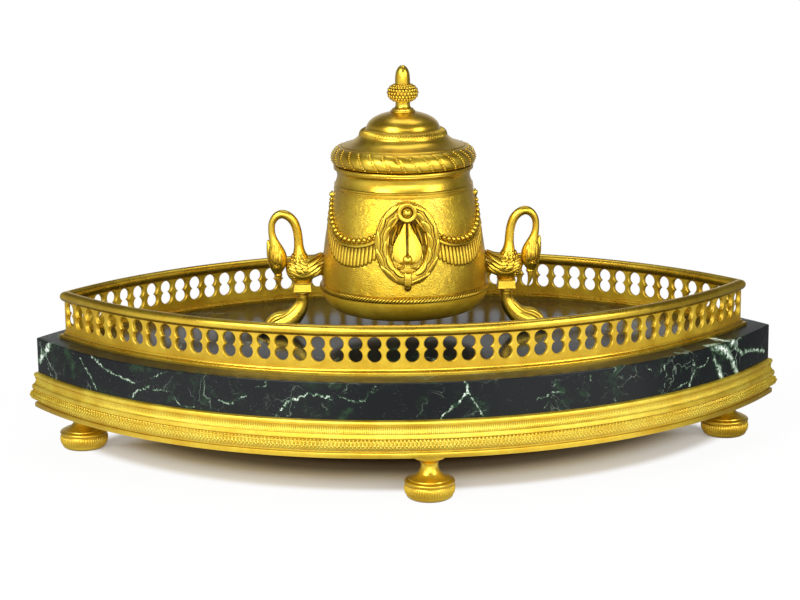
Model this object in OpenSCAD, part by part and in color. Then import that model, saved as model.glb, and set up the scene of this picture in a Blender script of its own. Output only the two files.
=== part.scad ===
// Desk inkstand: a gilt ink pot carried by two swans on a lens-shaped marble slab, with a pierced
// gallery round the slab, a moulded base below it and four turned feet.
// Millimetres, +Z up, origin on the table under the middle of the stand, +X along the stand,
// -Y towards the writer.

/* [Stand] */
// Half the length of the marble slab, from its middle to a tip
marble_half_l = 180; // [172:1:190]
// Half the width of the marble slab at its middle
marble_half_w = 100; // [94:1:106]
// Thickness of the marble slab
marble_t = 18; // [14:0.5:22]
// How deep the slab sits inside the lip of the base moulding
marble_seat = 0.8; // [0.4:0.1:1.4]
// Thickness of the bottom plate
plate_t = 2.5; // [1.5:0.1:3.5]
// How far the bottom plate stands out past the slab
plate_out = 2; // [1:0.1:3]
// Height of the base moulding above the bottom plate
moulding_h = 15.1; // [14:0.1:18]
// How far the round of the base moulding stands out past the slab
torus_out = 4.2; // [3.4:0.1:5.5]
// Height of the round of the base moulding
torus_h = 5.8; // [4.5:0.1:7]
// Height of the lip that holds the slab
lip_h = 3.2; // [2.4:0.1:4]
// How far the lip stands out past the slab
lip_out = 2; // [1.4:0.1:2.8]
// Wall of the base moulding, behind the slab's edge
moulding_wall = 2.5; // [1.8:0.1:3.5]
// Width of the ledge that carries the slab
ledge_w = 8.5; // [6:0.5:9]
// Thickness of the ledge and of the screw flange of the base moulding
flange_t = 2.5; // [1.8:0.1:3.2]
// Width of the flange that the base screws and middle feet go through
flange_w = 12; // [11:0.5:14]

/* [Feet] */
// Height of each foot
foot_h = 20.7; // [17:0.1:26]
// Largest diameter of each foot
foot_d = 23.5; // [20:0.5:27]
// Height of the reeded bun of each foot
bun_h = 9.3; // [8:0.1:11]
// Diameter of the neck of each foot
foot_neck_d = 8.2; // [7:0.1:10]
// Diameter of the top flange of each foot
foot_flange_d = 14; // [12:0.5:15]
// How far the end feet stand inside the tips of the slab
foot_end_inset = 21; // [18:1:26]
// How far the front and back feet stand inside the edge of the slab
foot_mid_inset = 6.3; // [6:0.1:7.5]
// How far the front and back feet stand to the right of the middle
foot_mid_x = 7; // [0:0.5:8]
// Diameter of the threaded stud on each foot
foot_stud_d = 4; // [3:0.1:5]

/* [Gallery] */
// How far the gallery stands inside the edge of the slab
gallery_inset = 15.2; // [14:0.1:18]
// Height from the slab to the middle of the top rail
rail_rise = 20.3; // [19:0.1:25]
// Diameter of the top rail
rail_d = 5.2; // [4.5:0.1:6.5]
// Thickness of the pierced band
band_t = 1.6; // [1.2:0.1:2.2]
// Diameter of the pierced holes
pierce_d = 6.4; // [5:0.1:6.8]
// Height between the two holes of a pair
pierce_rise = 5.5; // [4.5:0.1:5.8]
// Distance between pairs of holes along the band
pierce_pitch = 8.58; // [8.2:0.02:10]
// Least metal left between the last pair of holes and the tip of the band
pierce_end = 0.5; // [0.4:0.1:3]
// Least metal left between the holes and the rail
pierce_top = 0.15; // [0.1:0.05:1]
// Half the width of the moulded strip that the band stands in
strip_half_w = 3.4; // [2.8:0.1:4.5]
// Height of that strip
strip_h = 2.8; // [2.4:0.1:3.6]
// Diameter of the studs that hold the gallery down
gallery_stud_d = 2.5; // [2:0.1:3]

/* [Pot] */
// Gap between the slab and the underside of the pot
pot_lift = 11.8; // [9:0.1:15]
// Height of the dished underside of the pot
dish_h = 10.7; // [8:0.1:13]
// Radius of the flat middle of the underside
dish_flat_r = 28.3; // [24:0.1:32]
// Height of the reeded ring round the foot of the pot
bead_h = 2.2; // [1.6:0.1:3]
// Height of the tapered body above that ring
body_h = 46.6; // [42:0.2:52]
// Radius of the body at its foot
body_foot_r = 40.2; // [38:0.1:42]
// Radius of the body at its top
body_top_r = 33.5; // [32.5:0.1:35]
// Wall of the pot
pot_wall = 1.8; // [1.2:0.1:2.2]
// Height of the moulded collar above the body
collar_h = 11.8; // [11:0.1:14]
// Radius of the waist of the collar
collar_waist_r = 32.1; // [31.9:0.1:32.6]
// Radius of the top flange of the collar
collar_top_r = 33.8; // [33:0.1:34.2]

/* [Lid] */
// Gap between the closed lid and the collar
lid_gap = 0.3; // [0.2:0.05:0.6]
// Largest radius of the gadrooned rim of the lid
rim_r = 34.9; // [34.4:0.1:35.2]
// Height of the gadrooned rim
rim_h = 6.8; // [5.5:0.1:8]
// Radius at which the rim grips the lid
rim_seat_r = 30; // [29.5:0.1:30.6]
// Height of the ogee of the lid, from its rim to the hatched ring
ogee_h = 5.8; // [5:0.1:7]
// Radius of the hatched ring
hatch_r = 21.3; // [20:0.1:22]
// Height of the hatched ring
hatch_h = 3.9; // [3:0.1:5]
// Radius of the small dome at the top of the lid
dome_r = 17.6; // [16.5:0.1:18.5]
// Height of the small dome
dome_h = 8; // [7:0.1:10]
// Wall of the lid
lid_wall = 1.6; // [1.2:0.1:2]
// Height of the acorn finial
finial_h = 22.5; // [18:0.5:28]
// Largest diameter of the acorn finial
finial_d = 13.9; // [12:0.1:15]
// Diameter of the stud under the finial
finial_stud_d = 3; // [2.5:0.1:3.6]

/* [Hinge] */
// Radius of the hinge barrel
barrel_r = 2; // [1.7:0.1:2.3]
// Diameter of the hinge pin
hinge_pin_d = 1.8; // [1.4:0.1:2.2]
// Gap between the hinge barrel and the rim of the lid
barrel_gap = 0.7; // [0.5:0.1:1.2]
// Width of the middle knuckle, which belongs to the lid
lid_knuckle_w = 6; // [5:0.5:8]
// Width of each outer knuckle, which belong to the pot
pot_knuckle_w = 4.5; // [3.5:0.5:6]

/* [Ink liner] */
// Outer radius of the porcelain liner
liner_r = 27.5; // [25:0.1:28.5]
// Wall of the liner
liner_wall = 2.2; // [1.8:0.1:3]
// Depth of the liner below its flange
liner_depth = 45; // [36:0.5:50]
// Radius of the flange of the liner
liner_flange_r = 29; // [28.6:0.1:29.2]
// Thickness of the flange of the liner
liner_flange_t = 1.4; // [1:0.1:1.4]

/* [Wreath handles] */
// Height of each wreath
wreath_h = 39.9; // [36:0.1:41]
// Width of each wreath
wreath_w = 29.7; // [27:0.1:32]
// Width of the band of leaves
wreath_band = 6.1; // [5:0.1:6.6]
// Thickness of the band of leaves
wreath_t = 2.8; // [2.2:0.1:3.2]
// Gap between a hanging wreath and the body of the pot
wreath_gap = 0.4; // [0.3:0.05:0.8]
// Diameter of the round boss at the top of a wreath
boss_d = 9.2; // [8:0.1:10]
// Diameter of the ball on the boss
boss_ball_d = 5.2; // [4.4:0.1:6]
// Radius of the knuckles that a wreath hangs by
handle_knuckle_r = 1.5; // [1.3:0.1:1.6]
// Diameter of the pin through those knuckles
handle_pin_d = 1.4; // [1:0.1:1.6]

/* [Swans and legs] */
// Distance from the middle of the pot to the middle of each leg block
block_x = 49.8; // [49.4:0.1:50.4]
// Width of the block between swan and leg
block_w = 9.5; // [8.5:0.1:10.5]
// Height of that block
block_h = 5.3; // [4:0.1:6]
// Height of the fillet under the block
block_fillet_h = 2.3; // [1.5:0.1:3]
// Height of the clawed leg under the fillet
leg_h = 18.1; // [16.5:0.1:20]
// How far the claws reach past the middle of the block
leg_reach = 23; // [20:0.5:26]
// Height of the swan from the block to the top of its neck
swan_h = 36.8; // [34:0.2:40]
// How far the swan's neck arches out past the middle of the block
swan_reach = 16.2; // [15:0.1:18]
// Diameter of the rods that tie the legs to the base
leg_rod_d = 3.5; // [3:0.1:4]
// Diameter of the screws that hold the swans to the pot
swan_screw_d = 3; // [2.5:0.1:3.4]
// Diameter of the dowels between swans and legs
dowel_d = 3; // [2.5:0.1:3.5]

/* [Applied ornament] */
// How far swags and palmettes stand out from the body
relief = 1.5; // [1:0.1:2]
// Height of the lowest bead of a swag above the foot of the body
swag_low = 27.4; // [24:0.2:30]
// Drop from those beads to the hem of the fringe
swag_drop = 11.2; // [8:0.2:14]
// Gap between the side knobs and the collar
knob_gap = 0.8; // [0.4:0.1:4]
// Diameter of the side knobs
knob_d = 3.8; // [3:0.1:4.2]
// How far the side knobs stand out from the body
knob_out = 2; // [1.6:0.1:3]

/* [Hidden] */

gilt = "#d8a627";
steel = "#9a9a98";
// Facets on long arcs, on turned parts and on pins
arc_fn = 240;
turn_fn = 96;
pin_fn = 32;
// Steps in each drawn curve of an outline
curve_n = 8;
// Radial clearance of a thread or pin in its hole, and of one soldered part in another
fit = 0.05;
// Side clearance between knuckles
knuckle_gap = 0.2;
// Gap round the slab inside its lip
slab_clear = 0.15;
// Depth by which a cut runs past a face
over = 1;

// Heights of the main levels
plate_z = foot_h;
moulding_z = plate_z + plate_t;
marble_z = moulding_z + moulding_h - marble_seat;
top_z = marble_z + marble_t;
rail_z = top_z + rail_rise;
dish_z = top_z + pot_lift;
bead_z = dish_z + dish_h;
body_z = bead_z + bead_h;
collar_z = body_z + body_h;
lid_z = collar_z + collar_h + lid_gap;

// Each long side is one arc: radius from half length and half width, centre on the other side
function arc_r(l, w) = (l * l + w * w) / (2 * w);
stand_r = arc_r(marble_half_l, marble_half_w);
stand_c = stand_r - marble_half_w;
gallery_half_l = marble_half_l - gallery_inset;
gallery_half_w = marble_half_w - gallery_inset;
gallery_r = arc_r(gallery_half_l, gallery_half_w);
gallery_c = gallery_r - gallery_half_w;
reach = 2 * marble_half_l;

function ellipse_arc(cx, cz, rx, rz, from, to, n = curve_n) =
  [for (i = [0:n]) let (a = from + (to - from) * i / n) [cx + rx * cos(a), cz + rz * sin(a)]];

// ---------- helpers ----------

module lens(grow = 0) {
  intersection() {
    translate([0, stand_c]) circle(stand_r + grow, $fn = arc_fn);
    translate([0, -stand_c]) circle(stand_r + grow, $fn = arc_fn);
  }
}

// Sweeps an outline along the front arc: x is the distance outside the arc, mitred at the tips
module front_sweep(radius, centre) {
  intersection() {
    translate([0, centre, 0]) rotate_extrude($fn = arc_fn) translate([radius, 0]) children();
    translate([-reach, -reach, 0]) cube([2 * reach, reach, rail_z + reach]);
  }
}

module back() {
  rotate([0, 0, 180]) children();
}

module left() {
  mirror([1, 0, 0]) children();
}

// Places children at an angle along the front arc, turned to face outwards
module on_arc(radius, centre, angle) {
  translate([0, centre, 0]) rotate([0, 0, angle]) translate([0, -radius, 0]) children();
}

module hex_nut(bore, across, height) {
  difference() {
    cylinder(h = height, d = across / cos(30), $fn = 6);
    translate([0, 0, -over]) cylinder(h = height + 2 * over, d = bore + 2 * fit, $fn = pin_fn);
  }
}

// A cross section of the swan or leg: oval, square to the way the path runs in the XZ plane
sweep_sides = 12;
function oval(p, along, rz, ry) =
  let (n = [-along[1], along[0]] / norm(along))
  [for (k = [0:sweep_sides - 1]) let (a = 360 * k / sweep_sides)
    [p[0] + n[0] * rz * cos(a), ry * sin(a), p[1] + n[1] * rz * cos(a)]];

// Solid through a list of [x, z, radius in the plane, radius across it]
module sweep_solid(s) {
  last = len(s) - 1;
  rings = [for (i = [0:last])
    let (a = s[max(i - 1, 0)], b = s[min(i + 1, last)])
    oval([s[i][0], s[i][1]], [b[0] - a[0], b[1] - a[1]], s[i][2], s[i][3])];
  polyhedron(
    points = [for (r = rings) each r],
    faces = concat(
      [[for (k = [sweep_sides - 1:-1:0]) k]],
      [[for (k = [0:sweep_sides - 1]) last * sweep_sides + k]],
      [for (i = [0:last - 1]) for (k = [0:sweep_sides - 1]) let (m = (k + 1) % sweep_sides)
        [i * sweep_sides + k, i * sweep_sides + m, (i + 1) * sweep_sides + m,
         (i + 1) * sweep_sides + k]]),
    convexity = 6);
}

// ---------- feet ----------

foot_nut_af = 6;
foot_nut_h = 2.4;
stud_proud = 0.8;

module foot(x, y, seat_t) {
  neck_h = foot_h - bun_h;
  bun_r = foot_d / 2;
  shoulder_r = bun_r - 1.8;
  outline = concat(
    [[0, 0], [bun_r - 3.2, 0]],
    ellipse_arc(bun_r - 3.2, 4.2, 3.2, 4.2, -75, 0, 5),
    [[bun_r, bun_h - 2.6], [bun_r - 0.5, bun_h - 1.7], [shoulder_r, bun_h - 1.2],
     [shoulder_r, bun_h - 0.4]],
    [for (i = [0:curve_n]) let (a = 90 * i / curve_n)
      [shoulder_r - 0.6 - (shoulder_r - 0.6 - foot_neck_d / 2) * sin(a),
       bun_h + neck_h * 0.48 * (1 - cos(a))]],
    [for (i = [1:curve_n]) let (a = 90 * i / curve_n)
      [foot_neck_d / 2 + (foot_flange_d / 2 - foot_neck_d / 2) * (1 - cos(a)),
       bun_h + neck_h * (0.52 + 0.34 * sin(a))]],
    [[foot_flange_d / 2, foot_h], [0, foot_h]]);
  color(gilt) translate([x, y, 0]) {
    rotate_extrude($fn = turn_fn) polygon(outline);
    translate([0, 0, foot_h - over])
      cylinder(h = over + seat_t + foot_nut_h + stud_proud, d = foot_stud_d, $fn = pin_fn);
  }
}

foot_end_x = marble_half_l - foot_end_inset;
foot_mid_y = marble_half_w - foot_mid_inset;
mid_seat_t = plate_t + flange_t;

module foot_left() { foot(-foot_end_x, 0, plate_t); }
module foot_right() { foot(foot_end_x, 0, plate_t); }
module foot_front() { foot(foot_mid_x, -foot_mid_y, mid_seat_t); }
module foot_back() { foot(foot_mid_x, foot_mid_y, mid_seat_t); }

module foot_nuts() {
  color(steel) {
    for (side = [-1, 1])
      translate([side * foot_end_x, 0, plate_z + plate_t])
        hex_nut(foot_stud_d, foot_nut_af, foot_nut_h);
    for (side = [-1, 1])
      translate([foot_mid_x, side * foot_mid_y, plate_z + mid_seat_t])
        hex_nut(foot_stud_d, foot_nut_af, foot_nut_h);
  }
}

// ---------- base ----------

screw_d = 3;
screw_head_d = 5.4;
screw_head_h = 1.3;
screw_inset = 7;
screw_angles = [-44, -28, -12, 12, 28, 44];

module at_base_screws() {
  for (turn = [0, 180]) rotate([0, 0, turn])
    for (a = screw_angles) on_arc(stand_r - screw_inset, stand_c, a) children();
}

// The screw itself, or with a clearance and open ends for its hole
module screw_shape(wide = 0, open = 0) {
  translate([0, 0, plate_z]) {
    translate([0, 0, -open])
      cylinder(h = plate_t + flange_t + 2 * open, d = screw_d + wide, $fn = pin_fn);
    cylinder(h = screw_head_h, d1 = screw_head_d + wide, d2 = screw_d + wide, $fn = pin_fn);
    if (open > 0) translate([0, 0, -open])
      cylinder(h = open, d = screw_head_d + wide, $fn = pin_fn);
  }
}

module base_screws() {
  color(steel) at_base_screws() screw_shape();
}

module rod_holes(z, h, d) {
  for (side = [-1, 1]) translate([side * rod_x, 0, z])
    cylinder(h = h, d = d + 2 * fit, $fn = pin_fn);
}

module mid_foot_holes(z, h) {
  for (side = [-1, 1]) translate([foot_mid_x, side * foot_mid_y, z])
    cylinder(h = h, d = foot_stud_d + 2 * fit, $fn = pin_fn);
}

module bottom_plate() {
  color(gilt) difference() {
    translate([0, 0, plate_z]) linear_extrude(plate_t) lens(plate_out);
    at_base_screws() screw_shape(2 * fit, over);
    mid_foot_holes(plate_z - over, plate_t + 2 * over);
    for (side = [-1, 1]) translate([side * foot_end_x, 0, plate_z - over])
      cylinder(h = plate_t + 2 * over, d = foot_stud_d + 2 * fit, $fn = pin_fn);
    rod_holes(plate_z - over, plate_t + 2 * over, leg_rod_d);
  }
}

groove_out = 0.8;
groove_h = 1;
fillet_out = 2.4;
fillet_h = 0.9;
cavetto_depth = 1.3;

// Round, fillet, cavetto and lip outside; screw flange, wall and ledge inside
module moulding_outline() {
  round_z = groove_h + torus_h / 2;
  cavetto_z = groove_h + torus_h + fillet_h;
  lip_z = moulding_h - lip_h;
  seat_z = moulding_h - marble_seat;
  polygon(concat(
    [[-flange_w, 0], [groove_out, 0]],
    ellipse_arc(groove_out, round_z, torus_out - groove_out, torus_h / 2, -70, 68, 12),
    [[fillet_out, groove_h + torus_h], [fillet_out, cavetto_z]],
    [for (i = [0:curve_n]) let (a = 180 * i / curve_n)
      [lip_out - 0.1 - cavetto_depth * sin(a), cavetto_z + (lip_z - cavetto_z) * i / curve_n]],
    ellipse_arc(slab_clear + 0.2, lip_z + lip_h / 2, lip_out - slab_clear - 0.2, lip_h / 2, -35, 80, 6),
    [[slab_clear, moulding_h], [slab_clear, seat_z], [-ledge_w, seat_z],
     [-ledge_w, seat_z - flange_t], [-moulding_wall, seat_z - flange_t],
     [-moulding_wall, flange_t], [-flange_w, flange_t]]));
}

module base_moulding_front() {
  color(gilt) difference() {
    front_sweep(stand_r, stand_c) translate([0, moulding_z]) moulding_outline();
    at_base_screws() screw_shape(2 * fit, over);
    mid_foot_holes(moulding_z - over, flange_t + 2 * over);
  }
}

module base_moulding_back() {
  color(gilt) difference() {
    back() front_sweep(stand_r, stand_c) translate([0, moulding_z]) moulding_outline();
    at_base_screws() screw_shape(2 * fit, over);
    mid_foot_holes(moulding_z - over, flange_t + 2 * over);
  }
}

module marble_slab() {
  color("#1d2622") difference() {
    translate([0, 0, marble_z]) linear_extrude(marble_t) lens();
    at_gallery_studs() translate([0, 0, marble_z - over])
      cylinder(h = marble_t + 2 * over, d = gallery_stud_d + 2 * fit, $fn = pin_fn);
    rod_holes(marble_z - over, marble_t + 2 * over, leg_rod_d);
  }
}

// ---------- gallery ----------

stud_angles = [-38, -13, 13, 38];
stud_seat = 1;
gallery_nut_h = 2.2;
gallery_nut_af = 4.6;
band_seat = 1.3;
rail_groove = 0.8;
band_z = top_z + band_seat;
band_top_z = rail_z - rail_d / 2 + rail_groove;

module at_gallery_studs() {
  for (turn = [0, 180]) rotate([0, 0, turn])
    for (a = stud_angles) on_arc(gallery_r, gallery_c, a) children();
}

module gallery_studs() {
  length = stud_seat + marble_t + gallery_nut_h + stud_proud;
  color(steel) at_gallery_studs() translate([0, 0, top_z + stud_seat - length])
    cylinder(h = length, d = gallery_stud_d, $fn = pin_fn);
}

module gallery_nuts() {
  color(steel) at_gallery_studs() translate([0, 0, marble_z - gallery_nut_h])
    hex_nut(gallery_stud_d, gallery_nut_af, gallery_nut_h);
}

module strip_outline() {
  slot = band_t / 2 + fit;
  shoulder = slot + 0.7;
  edge_h = strip_h - 1.2;
  polygon(concat(
    [[-strip_half_w, 0], [strip_half_w, 0]],
    [[strip_half_w, edge_h - 0.4]],
    ellipse_arc(strip_half_w - 0.5, edge_h - 0.4, 0.5, 0.4, 15, 90, 3),
    [for (i = [0:5]) let (a = 90 * i / 5)
      [shoulder + (strip_half_w - 0.9 - shoulder) * (1 - sin(a)), edge_h + 1.2 * (1 - cos(a))]],
    [[slot, strip_h], [slot, band_seat], [-slot, band_seat], [-slot, strip_h]],
    [for (i = [5:-1:0]) let (a = 90 * i / 5)
      [-shoulder - (strip_half_w - 0.9 - shoulder) * (1 - sin(a)), edge_h + 1.2 * (1 - cos(a))]],
    [[-strip_half_w, edge_h]]));
}

module gallery_strip() {
  difference() {
    front_sweep(gallery_r, gallery_c) translate([0, top_z]) strip_outline();
    at_gallery_studs() translate([0, 0, top_z - over])
      cylinder(h = over + stud_seat + fit, d = gallery_stud_d + 2 * fit, $fn = pin_fn);
  }
}

// Pairs of holes fill the arc from its middle towards both tips
half_arc = gallery_r * asin(gallery_half_l / gallery_r) * PI / 180;
pairs_a_side = floor((half_arc - pierce_d / 2 - pierce_end) / pierce_pitch);
pierce_step = pierce_pitch / gallery_r * 180 / PI;
pierce_z = rail_z - rail_d / 2 - pierce_top - pierce_d / 2;

module gallery_band() {
  difference() {
    front_sweep(gallery_r, gallery_c)
      translate([-band_t / 2, band_z]) square([band_t, band_top_z - band_z]);
    for (i = [-pairs_a_side:pairs_a_side]) on_arc(gallery_r, gallery_c, i * pierce_step)
      for (drop = [0, pierce_rise]) translate([0, 0, pierce_z - drop]) rotate([90, 0, 0])
        cylinder(h = band_t + 2 * over, d = pierce_d, center = true, $fn = pin_fn);
  }
}

module gallery_rail() {
  front_sweep(gallery_r, gallery_c) translate([0, rail_z]) difference() {
    circle(d = rail_d, $fn = 48);
    translate([-band_t / 2 - fit, -rail_d]) square([band_t + 2 * fit, rail_d / 2 + rail_groove]);
  }
}

module gallery_strip_front() { color(gilt) gallery_strip(); }
module gallery_strip_back() { color(gilt) back() gallery_strip(); }
module gallery_band_front() { color(gilt) gallery_band(); }
module gallery_band_back() { color(gilt) back() gallery_band(); }
module gallery_rail_front() { color(gilt) gallery_rail(); }
module gallery_rail_back() { color(gilt) back() gallery_rail(); }

// ---------- legs and swans ----------

block_z = top_z + leg_h + block_fillet_h;
swan_z = block_z + block_h;
rod_x = block_x + leg_reach / 2;
rod_seat = 5.5;
dowel_half = 3.2;
rod_nut_h = 2.6;
rod_nut_af = 6;
claw_half_w = 5;

// Pot side and front of the abacus are hollowed alike
module block_side() {
  half = block_w / 2;
  hollow = 0.7;
  side = [for (i = [0:curve_n]) let (a = 180 * i / curve_n)
    [half - hollow * sin(a), block_h * 0.16 + block_h * 0.68 * i / curve_n]];
  polygon(concat([[-half, 0], [half, 0]], side, [[half, block_h], [-half, block_h]],
    [for (i = [curve_n:-1:0]) [-side[i][0], side[i][1]]]));
}

module block() {
  intersection() {
    rotate([90, 0, 0]) linear_extrude(block_w, center = true) block_side();
    rotate([90, 0, 90]) linear_extrude(block_w, center = true) block_side();
  }
}

// Clawed leg on the right: x from the block, z as a share of the leg's own height and reach
module leg_right_shape() {
  h = leg_h / 18.1;
  r = leg_reach / 23;
  shape = [
    [0.1, 19.2, 3.0, 3.0], [0, 17.6, 3.0, 3.0], [-0.1, 16.0, 2.9, 2.9], [0.9, 13.1, 3.4, 3.3], [3.1, 9.8, 4.1, 3.9],
    [6.6, 6.6, 4.9, 4.6], [11, 4.9, 5.3, claw_half_w], [15, 3.5, 4.1, claw_half_w],
    [19, 2.0, 2.8, 4.6], [22.4, 0.8, 1.4, 3.4]];
  difference() {
    union() {
      intersection() {
        translate([block_x, 0, top_z])
          sweep_solid([for (p = shape) [p[0] * r, p[1] * h, p[2], p[3]]]);
        translate([0, -reach / 2, top_z]) cube([reach, reach, reach]);
      }
      translate([block_x, 0, block_z - block_fillet_h])
        cylinder(h = block_fillet_h, d = block_w * 0.68, $fn = pin_fn);
      translate([block_x, 0, block_z]) block();
    }
    translate([rod_x, 0, top_z - over])
      cylinder(h = over + rod_seat + fit, d = leg_rod_d + 2 * fit, $fn = pin_fn);
    translate([block_x, 0, swan_z - dowel_half - fit])
      cylinder(h = dowel_half + fit + over, d = dowel_d + 2 * fit, $fn = pin_fn);
  }
}

module leg_right() { color(gilt) leg_right_shape(); }
module leg_left() { color(gilt) left() leg_right_shape(); }

module leg_rods() {
  low = plate_z - rod_nut_h - stud_proud;
  color(steel) for (side = [-1, 1]) translate([side * rod_x, 0, low])
    cylinder(h = top_z + rod_seat - low, d = leg_rod_d, $fn = pin_fn);
}

module leg_rod_nuts() {
  color(steel) for (side = [-1, 1]) translate([side * rod_x, 0, plate_z - rod_nut_h])
    hex_nut(leg_rod_d, rod_nut_af, rod_nut_h);
}

module leg_dowels() {
  color(steel) for (side = [-1, 1]) translate([side * block_x, 0, swan_z - dowel_half])
    cylinder(h = 2 * dowel_half, d = dowel_d, $fn = pin_fn);
}

screw_z = swan_z + 6.4;
swan_screw_in = 8.5;
swan_screw_head_d = 5;
swan_screw_head_h = 1.8;
swan_seat_d = 8.4;
head_gap = 0.4;

// Swan on the right, from the middle of its block: neck up and over, head down, beak to its breast
module swan_right_shape() {
  h = swan_h / 36.8;
  r = swan_reach / 16.2;
  neck = [
    [0.9, 4.5, 3.4, 3.2], [1.9, 11.0, 3.1, 2.9], [2.3, 16.0, 2.4, 2.3], [2.4, 21.0, 1.8, 1.8],
    [3.0, 25.8, 1.65, 1.65], [4.5, 30.6, 1.7, 1.7], [6.8, 33.6, 1.95, 1.9],
    [9.8, 34.75, 2.05, 1.95], [12.6, 33.6, 1.9, 1.9], [14.4, 30.6, 1.65, 1.7],
    [14.7, 27.6, 1.5, 1.6], [14.2, 25.2, 1.6, 1.7], [13.4, 22.8, 2.0, 1.9],
    [12.8, 20.2, 2.8, 2.4], [12.4, 17.2, 3.6, 2.9], [12.2, 14.0, 3.9, 3.1],
    [11.9, 11.0, 3.4, 2.7], [11.5, 8.4, 2.0, 1.9], [11.1, 6.0, 1.45, 1.6],
    [10.5, 2.4, 1.05, 1.2], [9.8, -1.6, 0.4, 0.6]];
  difference() {
    union() {
      translate([block_x, 0, swan_z]) {
        sweep_solid([for (p = neck) [p[0] * r, p[1] * h, p[2], p[3]]]);
        hull() {
          translate([3.6, 0, 6.6]) sphere(4.8, $fn = pin_fn);
          translate([-4, 0, 7.2]) sphere(5.2, $fn = pin_fn);
        }
        hull() {
          translate([-1, 0, 7.5]) sphere(5.4, $fn = pin_fn);
          translate([-9.6, 0, 10.8]) sphere(4.3, $fn = pin_fn);
        }
        cylinder(h = 5, d1 = swan_seat_d, d2 = swan_seat_d + 1.2, $fn = pin_fn);
      }
    }
    pot_form(fit);
    translate([0, 0, screw_z]) rotate([0, 90, 0])
      cylinder(h = body_foot_r + swan_screw_in, d = swan_screw_d + 2 * fit, $fn = pin_fn);
    translate([block_x, 0, swan_z - over])
      cylinder(h = over + dowel_half + fit, d = dowel_d + 2 * fit, $fn = pin_fn);
  }
}

module swan_right() { color(gilt) swan_right_shape(); }
module swan_left() { color(gilt) left() swan_right_shape(); }

module swan_screws() {
  inside = body_r(screw_z) - pot_wall;
  color(steel) for (turn = [0, 180]) rotate([0, 0, turn]) translate([0, 0, screw_z])
    rotate([0, 90, 0]) {
      translate([0, 0, inside - swan_screw_head_h - head_gap])
        cylinder(h = swan_screw_head_h, d = swan_screw_head_d, $fn = pin_fn);
      translate([0, 0, inside - over])
        cylinder(h = body_foot_r + swan_screw_in - fit - inside + over, d = swan_screw_d,
                 $fn = pin_fn);
    }
}

// ---------- pot ----------

// Outer radius of the body at a height: a cone that rounds into an upright foot
function body_r(z) =
  body_top_r + (body_foot_r - body_top_r) * sin(90 * min(max((collar_z - z) / body_h, 0), 1));
body_n = 16;
function body_side(grow) =
  [for (i = [0:body_n]) let (z = body_z + body_h * i / body_n) [body_r(z) + grow, z]];
function reversed(list) = [for (i = [len(list) - 1:-1:0]) list[i]];
function dish_side(inset) =
  ellipse_arc(dish_flat_r, bead_z, body_foot_r - dish_flat_r - inset, dish_h - inset, -90, 0, 10);

// Everything inside the outer faces of the dish and body, grown by a clearance
module pot_form(grow) {
  rotate_extrude($fn = turn_fn)
    polygon(concat([[0, bead_z], [body_foot_r + grow, bead_z]], body_side(grow),
      [[0, collar_z]]));
}

module pot_dish() {
  color(gilt) rotate_extrude($fn = turn_fn)
    polygon(concat([[0, dish_z]], dish_side(0), reversed(dish_side(pot_wall)),
      [[0, dish_z + pot_wall]]));
}

module pot_bead_ring() {
  color(gilt) rotate_extrude($fn = turn_fn)
    polygon(concat([[body_foot_r + fit, bead_z]],
      ellipse_arc(body_foot_r + fit, bead_z + bead_h / 2, 1.1, bead_h / 2, -90, 90, 10)));
}

module pot_body() {
  color(gilt) difference() {
    rotate_extrude($fn = turn_fn)
      polygon(concat([[body_foot_r, bead_z]], body_side(0), reversed(body_side(-pot_wall)),
        [[body_foot_r - pot_wall, bead_z]]));
    translate([-body_foot_r - over, 0, screw_z]) rotate([0, 90, 0])
      cylinder(h = 2 * (body_foot_r + over), d = swan_screw_d + 2 * fit, $fn = pin_fn);
    for (turn = [0, 180]) rotate([0, 0, turn]) {
      translate([body_top_r - pot_wall - 2, 0, knob_z]) rotate([0, 90, 0])
        cylinder(h = 8, d = knob_stem_d + 2 * fit, $fn = pin_fn);
      translate([0, -body_top_r + pot_wall + 2, handle_z]) rotate([90, 0, 0])
        cylinder(h = 8, d = bracket_stem_d + 2 * fit, $fn = pin_fn);
    }
  }
}

collar_bore_r = liner_flange_r - 1;
liner_rebate = liner_flange_t + 0.2;

module pot_collar() {
  lip = 1.6;
  outline = concat(
    [[collar_bore_r, 0], [body_top_r + 0.3, 0], [body_top_r + 0.3, 0.9], [body_top_r - 0.1, 1.1],
     [body_top_r - 0.1, 1.7], [body_top_r + 0.1, 1.9], [body_top_r + 0.1, 2.8]],
    [for (i = [0:curve_n]) let (t = i / curve_n)
      [collar_waist_r + (body_top_r - 0.3 - collar_waist_r) * pow(1 - t, 2), 3 + (collar_h - 7) * t]],
    [for (i = [1:5]) let (t = i / 5)
      [collar_waist_r + (collar_top_r - 0.3 - collar_waist_r) * t * t,
       collar_h - 4 + (4 - lip - 0.4) * t]],
    [[collar_top_r, collar_h - lip], [collar_top_r, collar_h], [liner_flange_r + fit, collar_h],
     [liner_flange_r + fit, collar_h - liner_rebate], [collar_bore_r, collar_h - liner_rebate]]);
  color(gilt) translate([0, 0, collar_z]) rotate_extrude($fn = turn_fn) polygon(outline);
}

module ink_liner() {
  top = collar_z + collar_h - liner_rebate;
  inner = liner_r - liner_wall;
  color("#f2efe6") translate([0, 0, top]) rotate_extrude($fn = turn_fn)
    polygon(concat(
      ellipse_arc(liner_r - 6, 6 - liner_depth, 6, 6, -90, 0, 6),
      [[liner_r, 0], [liner_flange_r, 0], [liner_flange_r, liner_flange_t], [inner, liner_flange_t]],
      ellipse_arc(inner - 5, 5 + liner_wall - liner_depth, 5, 5, 0, -90, 6),
      [[0, liner_wall - liner_depth], [0, -liner_depth]]));
}

// ---------- knobs, swags, palmettes ----------

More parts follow.
